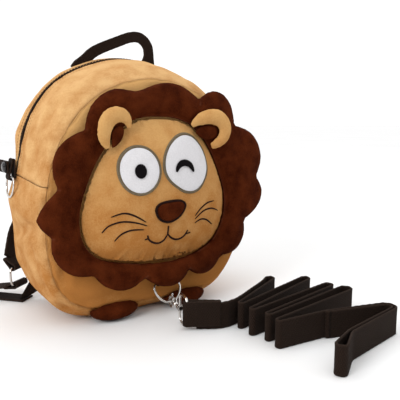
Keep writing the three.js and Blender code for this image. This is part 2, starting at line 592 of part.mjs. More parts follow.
const rod = (x, z, r, w, n = 12) => loft([-w / 2, w / 2].map((y) => range(0, 2 * Math.PI, n).slice(0, -1)
  .map((a) => V(x + r * Math.cos(a), y, z + r * Math.sin(a)))));
const hookArc = arcBar(-8, -360 + hook.gateTo + 9, hook.r, hook.wire, 16, 1.6);
const cheeks = [-1, 1].map((s) => loft([s * 1.15, s * 2.3].map((y) => range(0, 2 * Math.PI, 10).slice(0, -1).map((a) => V(
  hingeAt.x + 1.2 + (2.9 + 0.4 * Math.cos(a)) * Math.cos(a), y, hingeAt.z - 1.6 + 3.2 * Math.sin(a))))));
const shank = lathe([[5, 0], [5, 2.1], [9.5, 2.7], [12, 2.5], [13, 1.25], [hook.stem + 2.5, 1.25],
  [hook.stem + 2.5, 2.5], [hook.stem + 3.9, 2.5], [hook.stem + 3.9, 0]]);
add("hook_body", placed(joined([hookArc, shank, ...cheeks])), "nickel");
const gateArm = arcBar(hook.gateFrom + 10, hook.gateTo - 10, hook.r, 0.95, 8, 0.95);
const knuckle = rod(hingeAt.x, hingeAt.z, 1.35, 1.7);
const arm = arcBar(38, 60, hook.r, 0.8, 3, 0.8);
const thumb = loft([[0, 0.9], [2.6, 1.25], [3.4, 0.5]].map(([h, r]) => range(0, 2 * Math.PI, 8).slice(0, -1).map((a) => V(
  hook.r * Math.cos(1.35) + r * Math.cos(a) + h * 0.25, r * Math.sin(a), hook.r * Math.sin(1.35) + h))));
add("hook_gate", placed(joined([gateArm, knuckle, arm, thumb])), "nickel");
const bracketHalf = 13.2;
function bracket() {
  const depth = bracketBar.clone().sub(reach).length();
  const near = hook.stem + 0.9;
  const list = [[0, near], [9, near], [bracketHalf - 1.5, near + 0.6], [bracketHalf, near + 3], [bracketHalf, depth - 2.4],
    [bracketHalf - 1.2, depth - 0.4], [bracketHalf - 3, depth], [0, depth]];
  const up = V(0, 0, 1);
  const flat = V(along.x, along.y, 0).normalize();
  const origin = V(reach.x, reach.y, bracketBar.z);
  return wireRing(both(list), origin, up, flat, wire.bracket, 24);
}
const collar = placed(lathe([[hook.stem - 1.6, 0], [hook.stem - 1.6, 3.3], [hook.stem + 1.7, 3.3], [hook.stem + 1.7, 0]]));
const bore = placed(lathe([[hook.stem - 4, 0], [hook.stem - 4, 1.95], [hook.stem + 4, 1.95], [hook.stem + 4, 0]]));
add("hook_eye", cutBy(joined([bracket(), collar]), bore), "nickel");

// The leash: webbing on edge, folded to and fro, with a stitched end at the bracket and a hand loop.
const onFloor = (a, b, w) => V(a, b, webbing.leashWidth / 2 + 0.2 + w);
const leadOut = headings([[4, -111.1], [10, -115], [16, -119], [23, -122.3], [31, -123.3], [42, -121], [55, -115], [70, -107], [86, -99], [100, -91.5]]);
const folds = [
  { c: [100, -91.5], r: 0.01, s: 1 }, { c: [112, -88.5], r: 4.4, s: -1 }, { c: [40, -131.4], r: 2.6, s: 1 },
  { c: [142.5, -109.5], r: 4.6, s: -1 }, { c: [38.5, -149.4], r: 2.6, s: 1 }, { c: [145.5, -138.5], r: 4.6, s: -1 },
  { c: [42, -166.6], r: 2.6, s: 1 }, { c: [150.5, -156.5], r: 6, s: -1 }, { c: [40, -182.5], r: 3, s: 1 },
  { c: [89, -189.4], r: 0.01, s: 1 },
];
const leashTape = (path, closed = false) => tape(path, webbing.leashWidth, webbing.thick, onFloor, { closed });
const stitchedEnd = beltPath([
  { c: [bracketBar.x, bracketBar.y], r: wire.bracket + 0.95 + webbing.thick / 2, s: 1 }, { c: [21.2, -121.9], r: 1.3, s: 1 },
], { closed: true });
const tip = [140.5, -212];
const bend = [77, -252];
const handLoop = beltPath([
  { c: [88, -191.2], r: 1.5, s: -1 }, { c: tip, r: 8, s: -1 }, { c: bend, r: 20, s: 1 }, { c: [45.5, -243.5], r: 4.4, s: -1 },
  { c: bend, r: 23.6, s: -1 }, { c: tip, r: 4.6, s: 1 },
], { closed: true, step: 6 });
const foldPath = [...leadOut, ...beltPath(folds).slice(1)];
add("leash", joined([leashTape(foldPath), tape(stitchedEnd, 20, webbing.thick, (a, b, w) => V(a, b, bracketBar.z - 1 + w), { closed: true }), leashTape(handLoop, true)]), "webbing");

// A loop of webbing round a bar: from the bar's centre it tapers away along a direction.
function wrapLoop(at, away, across, width, thick, radius, length) {
  const e1 = away.clone().normalize();
  const e3 = across.clone().addScaledVector(e1, -across.dot(e1)).normalize();
  const e2 = new THREE.Vector3().crossVectors(e3, e1);
  const path = beltPath([{ c: [0, 0], r: radius + 0.65 + thick / 2, s: 1 }, { c: [length, 0], r: thick * 0.55, s: 1 }], { closed: true });
  return tape(path, width, thick, (a, b, w) => at.clone().addScaledVector(e1, a).addScaledVector(e2, b)
    .addScaledVector(e3, w), { closed: true });
}
const box = (w, d, h, bevel) => {
  const shape = new THREE.Shape();
  const [x, y] = [w / 2 - bevel, h / 2 - bevel];
  shape.moveTo(-x, -y).lineTo(x, -y).lineTo(x, y).lineTo(-x, y).closePath();
  const geometry = new THREE.ExtrudeGeometry(shape, {
    depth: d - 2 * bevel, bevelThickness: bevel, bevelSize: bevel, bevelSegments: 2, curveSegments: 2,
  }).translate(0, 0, -(d - 2 * bevel) / 2).rotateX(-Math.PI / 2);
  geometry.deleteAttribute("normal");
  geometry.deleteAttribute("uv");
  return mergeVertices(geometry, 1e-3);
};

// Straps, rings and tabs at the back and sides; s is -1 on the left and 1 on the right.
const buckleAt = V(0, 130, 118);
const sideY = 22;
const beltZ = bag.splitHeight + 10.7;
for (const [side, s] of [["left", -1], ["right", 1]]) {
  const topBar = V(s * 107, 63, 37);
  const lowBar = V(s * 106, 63, 17.5);
  const strapIn = V(s * 0.5, 0.57, 0.66).normalize();
  const bars = V(-0.75 * s, 0.66, 0).normalize();
  const from = topBar.clone().addScaledVector(strapIn, 9);
  add(`shoulder_strap_${side}`, joined([
    strip([
      [s * 34, 52.9, 194], [s * 35, 55.6, 212], [s * 40, 66, 219], [s * 52, 86, 205], [s * 67, 101, 165], [s * 76, 103, 118],
      [s * 83, 99, 90], [s * 99, 89, 66], from.toArray(),
    ], (t) => V(1, 0, 0).lerp(bars.clone().multiplyScalar(-s), smooth(0.5, 0.97, t)), webbing.strapWidth, 2.2, 18,
    (t) => mix(1, 0.75, smooth(0.7, 1, t))),
    wrapLoop(topBar, strapIn, bars, 19, 1.8, wire.ring, 12),
  ]), "webbing");
  const down = lowBar.clone().sub(topBar).normalize();
  add(`strap_ring_${side}`, wireRing(both([[0, 0], [9, 0], [12.4, 1], [13.6, 4.5], [13.6, 15], [12.4, 18.6], [9, 19.53], [0, 19.53]]),
    topBar, bars.clone().multiplyScalar(s), down, wire.ring, 20), "nickel");
  const g = V(s * 0.66, 0.75, 0).normalize();
  const level = (a, b, w) => V(lowBar.x, lowBar.y, 0).addScaledVector(g, a).add(V(0, 0, b))
    .addScaledVector(V(-g.y, g.x, 0), w);
  const tail = V(g.x, g.y, -0.28).normalize();
  add(`strap_lower_${side}`, joined([
    wrapLoop(lowBar, tail, V(-g.y, g.x, 0), 20, 1.6, wire.ring, 12),
    tape(beltPath([{ c: [9, 14.8], r: 0.01, s: 1 }, { c: [44, 5.4], r: 4, s: -1 }, { c: [-9, 1.2], r: 0.01, s: 1 }]), 20, 1.6, level),
  ]), "webbing");
  add(`strap_tab_${side}`, loft([
    [[s * 89, 51.2, 35], [s * 74, 50.9, 18.5], [s * 74, 52.9, 18.5], [s * 89, 53.2, 35]],
    [[s * 108, 55.5, 2.35], [s * 96, 59.5, 2.35], [s * 96, 61.5, 2.35], [s * 108, 57.5, 2.35]],
  ].map((ring) => ring.map((p) => V(...p)))), "webbing");
  add(`side_tab_${side}`, tape(beltPath([
    { c: [s * 117.4, beltZ + 6.3], r: 0.95, s }, { c: [s * 119.4, beltZ - 9.7], r: 1.2 + 0.75 + 0.7, s },
  ], { closed: true }), 12, 1.4, (a, b, w) => V(a, sideY + w, b), { closed: true }), "webbing");
  add(`side_ring_${side}`, wireRing(both([[0, 0], [6.6, 0], [9.2, 1.6], [10.4, 6.5], [9, 12.5], [5.4, 16.8], [0, 18.4]]),
    V(s * 119.4, sideY, beltZ - 9.7), V(0, -1, 0), V(s * 0.12, 0, -1).normalize(), 1.2, 16), "nickel");
  add(`chest_strap_${side}`, strip([
    [s * 123, sideY - 6, beltZ], [s * 123, 40, beltZ], [s * 122.4, 62, beltZ - 0.7], [s * 117, 92, beltZ - 2.7], [s * 104, 114, beltZ - 6.7],
    [s * 76, 124, 132], [s * 44, 129, 121], [s * 24, 130, 118], [s * 14.5, 130, 118],
  ], () => V(0, 0, 1), 12, 1.4, 16), "webbing");
  add(`side_rivet_${side}`, lathe([[0, 0], [0, 4.9], [0.9, 5.2], [2, 4.6], [2.9, 2.9], [3.2, 0]], 16)
    .applyMatrix4(new THREE.Matrix4().makeBasis(V(s, 0, 0), V(0, s, 0), V(0, 0, 1)).setPosition(s * 124.1, sideY, beltZ)), "gloss");
}
add("chest_buckle", cutBy(box(40, 9, 20, 1.6).translate(buckleAt.x, buckleAt.y, buckleAt.z), joined([-1, 1].map((s) => box(20, 2.2, 13, 0.3)
  .translate(buckleAt.x + s * 24, buckleAt.y, buckleAt.z)))), "gloss");

// The slider and its pull at the end of the zip that the photo hides.
const zipAt = 1 - splitShare - 0.055;
const zipPoint = wallPoint(zipAt, sideY, zip.sunk);
const zipAlong = wallPoint(zipAt + 0.01, sideY, zip.sunk).sub(wallPoint(zipAt - 0.01, sideY, zip.sunk)).normalize();
const zipOut = new THREE.Vector3().crossVectors(zipAlong, V(0, 1, 0)).normalize();
if (zipOut.x < 0) zipOut.negate();
const sliderFrame = new THREE.Matrix4().makeBasis(zipOut.clone().cross(zipAlong), zipOut, zipAlong).setPosition(zipPoint);
add("zip_slider", joined([
  box(5, 2.4, 9, 0.6).translate(0, 1.7, 0), box(2.4, 2.2, 4, 0.4).translate(0, 3.3, 0),
  box(4.6, 1.2, 22, 0.4).translate(0, 4.4, 9),
]).applyMatrix4(sliderFrame), "nickel");

export default group;
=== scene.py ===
# %% [markdown]
# # A plush lion backpack with a webbing leash
# The bag's solids come packed from the CAD model. This lesson dresses them in Blender: soft plush
# panels, a stuffed face, stitched felt eyes, woven webbing and nickel hardware. Plush, felt and metal
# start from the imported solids; webbing and thread follow routes with the CAD model's measures.

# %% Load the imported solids
import math
import bmesh
import bpy
import numpy as np
from mathutils import Matrix, Vector, noise
from mathutils.bvhtree import BVHTree
from mathutils.kdtree import KDTree


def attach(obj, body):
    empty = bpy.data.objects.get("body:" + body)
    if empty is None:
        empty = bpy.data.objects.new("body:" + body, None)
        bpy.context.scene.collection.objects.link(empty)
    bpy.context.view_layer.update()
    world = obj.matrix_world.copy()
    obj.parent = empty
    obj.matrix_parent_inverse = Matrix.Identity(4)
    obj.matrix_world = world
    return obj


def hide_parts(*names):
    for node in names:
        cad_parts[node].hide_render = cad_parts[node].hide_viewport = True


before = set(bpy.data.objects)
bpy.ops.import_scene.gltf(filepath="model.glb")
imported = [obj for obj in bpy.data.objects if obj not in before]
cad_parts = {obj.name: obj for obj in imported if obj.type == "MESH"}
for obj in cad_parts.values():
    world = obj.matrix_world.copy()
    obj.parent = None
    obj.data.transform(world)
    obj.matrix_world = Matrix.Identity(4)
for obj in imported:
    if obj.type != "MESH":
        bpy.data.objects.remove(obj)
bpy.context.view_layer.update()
scene = bpy.context.scene
MM = 0.001

# %% [markdown]
# The camera comes first. The photograph looks at the bag from its left, a little above the floor, so
# the camera is placed by two angles and a distance round a point between the bag and the leash.

# %% Camera
LOOK_AT = Vector((83, 0, 99)) * MM
AZIMUTH = math.radians(-34)
ELEVATION = math.radians(8.3)
DISTANCE = 594 * MM
LENS = 46.8
NEAREST = 0.01

level = math.cos(ELEVATION)
backwards = Vector((math.sin(AZIMUTH) * level, -math.cos(AZIMUTH) * level, math.sin(ELEVATION)))
camera = bpy.data.objects.new("camera", bpy.data.cameras.new("camera"))
camera.data.lens = LENS
camera.data.clip_start = NEAREST
camera.location = LOOK_AT + backwards * DISTANCE
camera.rotation_euler = backwards.to_track_quat("Z", "Y").to_euler()
scene.collection.objects.link(camera)
scene.camera = camera
print("camera at", [round(v, 3) for v in camera.location])

# %% [markdown]
# The studio is a white room. A wide paper floor runs to the horizon, and the world round it is a soft
# gradient: brightest overhead, white behind the bag, dimmer behind the camera. That leaves the front of
# the bag calmer than its top. One soft lamp on the left lights the gusset.

# %% Paper floor
FLOOR_HALF = 60.0

def paper_floor():
    mesh = bpy.data.meshes.new("paper")
    corners = [(x * FLOOR_HALF, y * FLOOR_HALF, 0.0) for x, y in ((-1, -1), (1, -1), (1, 1), (-1, 1))]
    mesh.from_pydata(corners, [], [(0, 1, 2, 3)])
    floor = bpy.data.objects.new("paper", mesh)
    scene.collection.objects.link(floor)
    return floor

paper = paper_floor()

# %% Lamps
# Name, place and target (m), width (m), power (W)
LAMPS = [
    ("key", (-1.9, -0.6, 1.25), (0.0, 0, 0.1), 1.0, 24),
    ("right", (1.6, -1.2, 0.9), (0.05, 0, 0.1), 1.0, 3),
]

def soft_lamp(name, place, target, size, watts):
    lamp = bpy.data.lights.new(name, "AREA")
    lamp.shape = "DISK"
    lamp.size = size
    lamp.energy = watts
    holder = bpy.data.objects.new(name, lamp)
    holder.location = place
    holder.rotation_euler = (Vector(place) - Vector(target)).to_track_quat("Z", "Y").to_euler()
    scene.collection.objects.link(holder)

for lamp in LAMPS:
    soft_lamp(*lamp)

# %% World gradient
WORLD_FRONT = 0.5
WORLD_BEHIND = 1.1
WORLD_ABOVE = 1.8
# How far a direction has turned away from the camera, or up, where the light starts and stops rising
TO_BEHIND = (-0.4, 0.4)
TO_ABOVE = (0.35, 0.9)

def room_light(world):
    world.use_nodes = True
    tree = world.node_tree
    sky = tree.nodes["Background"].inputs
    sky["Color"].default_value = (1, 1, 1, 1)
    place = tree.nodes.new("ShaderNodeTexCoord").outputs["Generated"]

    def rising(direction, stretch, start, end):
        """Light that rises from start to end as a direction turns towards the given one."""
        facing = tree.nodes.new("ShaderNodeVectorMath")
        facing.operation = "DOT_PRODUCT"
        facing.inputs[1].default_value = direction
        tree.links.new(place, facing.inputs[0])
        graded = tree.nodes.new("ShaderNodeMapRange")
        graded.interpolation_type = "SMOOTHSTEP"
        tree.links.new(facing.outputs["Value"], graded.inputs["Value"])
        limits = zip(("From Min", "From Max", "To Min", "To Max"), (*stretch, start, end))
        for socket, value in limits:
            graded.inputs[socket].default_value = value
        return graded.outputs["Result"]

    behind = rising((-backwards.x, -backwards.y, 0), TO_BEHIND, WORLD_FRONT, WORLD_BEHIND)
    above = rising((0, 0, 1), TO_ABOVE, 0.0, WORLD_ABOVE - WORLD_BEHIND)
    total = tree.nodes.new("ShaderNodeMath")
    tree.links.new(behind, total.inputs[0])
    tree.links.new(above, total.inputs[1])
    tree.links.new(total.outputs[0], sky["Strength"])

scene.world = scene.world or bpy.data.worlds.new("studio")
room_light(scene.world)
scene.view_settings.view_transform = "Standard"

# %% [markdown]
# A finish is a small node tree. Written as Python sums it stays readable: `Wire` wraps one socket and
# adds a Math node for each operator, and `Finish.node` makes any other node.

# %% Finishes as sums
class Wire:
    """One output socket of a finish that can be added, multiplied and so on."""

    def __init__(self, finish, socket):
        self.finish = finish
        self.socket = socket

    def maths(self, operation, first, second):
        return self.finish.node("ShaderNodeMath", {0: first, 1: second}, operation=operation)

    def __add__(self, other):
        return self.maths("ADD", self, other)

    def __sub__(self, other):
        return self.maths("SUBTRACT", self, other)

    def __mul__(self, other):
        return self.maths("MULTIPLY", self, other)

    def __truediv__(self, other):
        return self.maths("DIVIDE", self, other)

    def __pow__(self, other):
        return self.maths("POWER", self, other)


class Finish:
    """A material with one shader, filled in by Python sums."""

    def __init__(self, name, **constants):
        self.material = bpy.data.materials.new(name)
        self.material.use_nodes = True
        self.tree = self.material.node_tree
        self.shader = self.tree.nodes["Principled BSDF"]
        for socket, value in constants.items():
            self.shader.inputs[socket.replace("_", " ")].default_value = value

    def node(self, kind, sockets, out=0, stops=None, **settings):
        made = self.tree.nodes.new(kind)
        for key, value in settings.items():
            setattr(made, key, value)
        if stops:
            ramp = made.color_ramp.elements
            for place, colour in stops[2:]:
                ramp.new(place)
            for element, (place, colour) in zip(ramp, stops):
                element.position = place
                element.color = (*colour, 1)
        for key, value in sockets.items():
            if isinstance(value, Wire):
                self.tree.links.new(value.socket, made.inputs[key])
            else:
                made.inputs[key].default_value = value
        return Wire(self, made.outputs[out])

    def feed(self, socket, wire):
        self.tree.links.new(wire.socket, self.shader.inputs[socket])

    def place(self):
        return self.node("ShaderNodeTexCoord", {}, out="Object")

    def grain(self, scale, detail=2.0, rough=0.5):
        sockets = {"Vector": self.place(), "Scale": scale, "Detail": detail, "Roughness": rough}
        return self.node("ShaderNodeTexNoise", sockets)

    def ramp(self, wire, *stops):
        return self.node("ShaderNodeValToRGB", {0: wire}, stops=stops)

    def tint(self, share, first, second):
        return self.node("ShaderNodeMix", {0: share, 6: first, 7: second}, out=2, data_type="RGBA")

    def stamped(self, name, out="Fac"):
        return self.node("ShaderNodeAttribute", {}, out=out, attribute_name=name)

    def parts(self, wire):
        """The x, y and z of a place."""
        split = self.tree.nodes.new("ShaderNodeSeparateXYZ")
        self.tree.links.new(wire.socket, split.inputs[0])
        return [Wire(self, socket) for socket in split.outputs]

    def curve(self, operation, wire, **settings):
        """A Math node with one link, such as a sine."""
        return self.node("ShaderNodeMath", {0: wire}, operation=operation, **settings)

    def relief(self, height, distance, strength=1.0):
        bump = self.node("ShaderNodeBump", {"Height": height, "Distance": distance, "Strength": strength})
        self.feed("Normal", bump)

# %% [markdown]
# Paper first: plain white, barely glossy. A faint unevenness keeps it from looking computed.

# %% Paper finish
paper_white = Finish("paper", Roughness=0.9)
mottled = paper_white.ramp(paper_white.grain(1.5), (0.3, (0.79, 0.79, 0.79)), (0.7, (0.82, 0.82, 0.82)))
paper_white.feed("Base Color", mottled)
paper.data.materials.append(paper_white.material)

# %% [markdown]
# Short plush is a pile of fine hairs. Where a hand has stroked it, patches lie one way or the other
# and turn lighter or darker. So the colour runs between two tones with a broad cloudy noise, a fine
# noise breaks it into tufts, and the same tufts raise the surface. Sheen lights its turned-away edges.
# The vertex value `rim` marks an edge where the colour is painted: painted shade in the seam round the face,
# and a painted highlight along the mane's rolled edge. Tan plush also darkens towards the floor, most of all
# on the front. That is painted shade, where less light falls.

# %% Plush finishes
TUFT_SCALE = 620
HAIR_SCALE = 2300
PAINTED_SHADE_HEIGHT = 0.2
PAINTED_SHADE_MIDDLE = 0.65

def plush(name, light, dark, patch_size, patchy, sheen, painted_rim_shade_and_highlight, painted_downward_shade=0.0):
    """Tones, size (m) and contrast of the patches, sheen, the painted rim colour (seam shade on tan, edge
    highlight on brown), and painted shade downwards.
    """
    tint = (*[min(1, c * 1.25 + 0.05) for c in light], 1)
    finish = Finish(name, Roughness=0.92, Sheen_Weight=sheen, Sheen_Roughness=0.45, Sheen_Tint=tint,
                    Specular_IOR_Level=0.03)
    stroked = finish.grain(1 / patch_size, 3, 0.5)
    tufts = finish.grain(TUFT_SCALE, 2, 0.65)
    hairs = finish.grain(HAIR_SCALE, 1, 0.5)
    share = (stroked - 0.5) * patchy + 0.5 + (tufts - 0.5) * 0.5 + (hairs - 0.5) * 0.45
    height = finish.parts(finish.place())[2]
    # Painted shade: the share falls towards the floor and rises towards the top, following how light falls
    share = share + (height / PAINTED_SHADE_HEIGHT - PAINTED_SHADE_MIDDLE) * painted_downward_shade
    middle = tuple((a + b) / 2 for a, b in zip(light, dark))
    colour = finish.ramp(share, (0.12, dark), (0.5, middle), (0.9, light))
    colour = finish.tint(finish.stamped("rim"), colour, (*painted_rim_shade_and_highlight, 1))
    finish.feed("Base Color", colour)
    finish.relief(tufts * 0.7 + hairs * 0.5, 0.0009, 0.75)
    return finish

TAN_LIGHT = (0.66, 0.40, 0.175)
TAN_DARK = (0.41, 0.165, 0.04)
# Darker, more saturated tan for the front, face and ears: partly the nap seen head-on, partly painted shade
# where less light falls
FRONT_LIGHT_NAP_AND_SHADE = (0.61, 0.345, 0.128)
# Painted shade for the crevice where the face meets the mane
TAN_PAINTED_SEAM_SHADE = (0.075, 0.019, 0.006)
BROWN_LIGHT = (0.088, 0.017, 0.004)
BROWN_DARK = (0.034, 0.005, 0.001)
# Painted highlight for the mane's rolled edge
BROWN_PAINTED_RIM_HIGHLIGHT = (0.15, 0.05, 0.026)
tan_plush = plush("tan plush", TAN_LIGHT, TAN_DARK, 0.016, 1.25, 0.1, TAN_PAINTED_SEAM_SHADE, 0.45)
front_plush_nap_and_shade = plush("tan plush of the front, nap and painted shade", FRONT_LIGHT_NAP_AND_SHADE, TAN_DARK, 0.015, 0.95, 0.06, TAN_PAINTED_SEAM_SHADE, 0.95)
brown_plush = plush("brown plush", BROWN_LIGHT, BROWN_DARK, 0.014, 1.7, 0.02, BROWN_PAINTED_RIM_HIGHLIGHT)

# %% [markdown]
# Felt is pressed fibre: almost even in colour, with a fine fuzz. Embroidery thread is shiny rayon that
# lies in tight rows, so it gets a lower roughness and a fine streak; its rows are real geometry.

# %% Felt and thread finishes
# Roughness, gloss, noise of the colour and of the relief (scale, detail, roughness), relief's depth (m)
# and strength
PRESSED_FELT = (0.9, 0.06, (900, 3, 0.7), (1600, 2, 0.7), 0.0004, 0.6)
RAYON = (0.55, 0.14, (1300, 2, 0.6), (3200, 1, 0.5), 0.00015, 0.5)

def fibre(name, kind, light, dark):
    roughness, gloss, mottle, fuzz, depth, strength = kind
    finish = Finish(name, Roughness=roughness, Specular_IOR_Level=gloss)
    finish.feed("Base Color", finish.ramp(finish.grain(*mottle), (0.3, dark), (0.7, light)))
    finish.relief(finish.grain(*fuzz), depth, strength)
    return finish

white_felt = fibre("white felt", PRESSED_FELT, (0.73, 0.715, 0.73), (0.63, 0.615, 0.63))
black_felt = fibre("black felt", PRESSED_FELT, (0.008, 0.006, 0.007), (0.002, 0.0015, 0.002))
olive_thread = fibre("olive grey thread", RAYON, (0.25, 0.20, 0.13), (0.13, 0.10, 0.06))
brown_thread = fibre("dark brown thread", RAYON, (0.026, 0.006, 0.003), (0.008, 0.002, 0.0015))
tan_thread = fibre("tan thread", RAYON, (0.42, 0.19, 0.06), (0.28, 0.11, 0.03))

# %% [markdown]
# Webbing is a thick plain weave. Each strap carries its own place value `weave`, in millimetres along
# and across, so the ribs follow every bend. Ribs run across the strap, and the columns of warp yarn
# between them hop up and down, half a rib out of step. The two selvedges are tighter and lighter.

# %% Webbing finish
RIB = 1.5
YARN = 1.7

def woven(name, light, dark, edge):
    finish = Finish(name, Roughness=0.75, Sheen_Weight=0.01, Sheen_Roughness=0.4, Specular_IOR_Level=0.04)
    along, across, edgeness = finish.parts(finish.stamped("weave", out="Vector"))
    column = across / YARN
    hop = finish.curve("SINE", (along / RIB + finish.curve("FLOOR", column) * 0.5) * (2 * math.pi))
    yarn = finish.curve("ABSOLUTE", finish.curve("SINE", column * math.pi))
    height = (hop * 0.5 + 0.5) * 0.6 + (yarn ** 0.6) * 0.4
    fuzz = finish.grain(1500, 2, 0.6)
    worn = finish.grain(60, 3, 0.6)
    share = height * 0.75 + (fuzz - 0.5) * 0.4 + (worn - 0.5) * 0.4 + 0.05
    selvedge = finish.curve("ADD", edgeness * 0.75, use_clamp=True)
    colour = finish.tint(selvedge, finish.ramp(share, (0.15, dark), (0.85, light)), (*edge, 1))
    finish.feed("Base Color", colour)
    finish.relief(height * 0.9 + fuzz * 0.3, 0.0008, 1.0)
    return finish

WEB_LIGHT = (0.018, 0.0095, 0.0062)
WEB_DARK = (0.0026, 0.0013, 0.0009)
WEB_EDGE = (0.03, 0.019, 0.014)
dark_webbing = woven("dark brown webbing", WEB_LIGHT, WEB_DARK, WEB_EDGE)

# %% [markdown]
# Nickel plate mirrors the white room, with faint polishing marks; the rivets and buckle are glossy
# black. Tone, roughness and a little bump change softly over these surfaces.

# %% Metal and plastic finishes
def plated(name, colour, metallic, low, high):
    finish = Finish(name, Metallic=metallic)
    cloudy = finish.grain(120, 3, 0.6)
    finish.feed("Base Color", finish.ramp(cloudy, (0.2, tuple(c * 0.82 for c in colour)), (0.8, colour)))
    finish.feed("Roughness", cloudy * (high - low) + low)
    finish.relief(finish.grain(700, 2), 0.00006, 0.5)
    return finish

nickel = plated("nickel plate", (0.66, 0.63, 0.60), 1.0, 0.14, 0.32)
gloss_black = plated("glossy black", (0.012, 0.011, 0.012), 0.0, 0.08, 0.2)
print("finishes:", len(bpy.data.materials))

# %% [markdown]
# A few helpers serve every piece. `dressed` gives a finish and a body to ride on.
# `settled_mesh` applies the modifiers, and `copy_of` takes a CAD node's solid as a new mesh of clean
# four-sided faces, so that subdivision can round it; sharp rims are creased and stay where they are.
# `remeshed` rebuilds a piece in small even faces. Points are handled as arrays in millimetres.

# %% Helpers for pieces
CREASE_ANGLE = math.radians(48)
NEARLY_FLAT = math.radians(30)
QUAD_SKEW = math.radians(70)
WELD = 0.00002

def dressed(piece, finish, slot, *nodes, body="bag"):
    piece.data.materials.clear()
    piece.data.materials.append(finish.material)
    piece.data.shade_smooth()
    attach(piece, body)
    if nodes:
        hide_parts(*nodes)
    return piece

def new_piece(name, mesh):
    piece = bpy.data.objects.new(name, mesh)
    scene.collection.objects.link(piece)
    return piece

def settled_mesh(piece):
    bpy.context.view_layer.update()
    graph = bpy.context.evaluated_depsgraph_get()
    made = bpy.data.meshes.new_from_object(piece.evaluated_get(graph))
    piece.modifiers.clear()
    piece.data = made
    return piece

def subdivided(piece, levels):
    rounding = piece.modifiers.new("rounding", "SUBSURF")
    rounding.levels = rounding.render_levels = levels
    return settled_mesh(piece)

def remeshed(piece, voxel, rounds):
    even = piece.modifiers.new("even", "REMESH")
    even.mode = "VOXEL"
    even.voxel_size = voxel * MM
    calm = piece.modifiers.new("calm", "SMOOTH")
    calm.factor = 0.5
    calm.iterations = rounds
    return settled_mesh(piece)

def welded(mesh):
    shape = bmesh.new()
    shape.from_mesh(mesh)
    bmesh.ops.remove_doubles(shape, verts=shape.verts, dist=WELD)
    return shape

def is_sharp(edge):
    return len(edge.link_faces) == 2 and edge.calc_face_angle(0) > CREASE_ANGLE

def copy_of(node, name, levels=2, crease=True):
    piece = new_piece(name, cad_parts[node].data.copy())
    shape = welded(piece.data)
    bmesh.ops.join_triangles(shape, faces=shape.faces[:], angle_face_threshold=NEARLY_FLAT,
                             angle_shape_threshold=QUAD_SKEW)
    folds = shape.edges.layers.float.new("crease_edge")
    for edge in shape.edges:
        if crease and is_sharp(edge):
            edge[folds] = 1.0
    shape.to_mesh(piece.data)
    shape.free()
    return subdivided(piece, levels) if levels else piece

def points_of(piece):
    co = np.empty(len(piece.data.vertices) * 3)
    piece.data.vertices.foreach_get("co", co)
    return co.reshape(-1, 3) / MM

def normals_of(piece):
    out = np.empty(len(piece.data.vertices) * 3)
    piece.data.vertex_normals.foreach_get("vector", out)
    return out.reshape(-1, 3)

def move_points(piece, points):
    piece.data.vertices.foreach_set("co", (points * MM).ravel())
    piece.data.update()

def stamp(piece, name, values):
    """Stores a number or a vector for each vertex, for the finishes to read."""
    values = np.asarray(values, float)
    kind, field = ("FLOAT_VECTOR", "vector") if values.ndim == 2 else ("FLOAT", "value")
    layer = piece.data.attributes.new(name, kind, "POINT")
    layer.data.foreach_set(field, values.ravel())

def bell(x, width):
    """1 at zero, falling smoothly to nothing beyond about two widths."""
    return np.exp(-((x / width) ** 2))

def eased(a, b, t):
    """0 before a, 1 after b, with soft ends."""
    t = np.clip((t - a) / (b - a), 0, 1)
    return t * t * (3 - 2 * t)

def unit(direction):
    return np.array(direction, float) / np.linalg.norm(direction)

# %% [markdown]
# The bag's walls are foam-backed plush. Sewing pulls each seam into a shallow valley with small
# gathers, and the slack cloth between seams falls into a few soft folds. Both are vertex moves in
# code: a depth by distance from the nearest rim, and a short table of folds seen in the photograph.

# %% Folds of the bag
SEAM_DEPTH = 1.1
SEAM_REACH = 2.6
FOLD_GAIN = 1.35
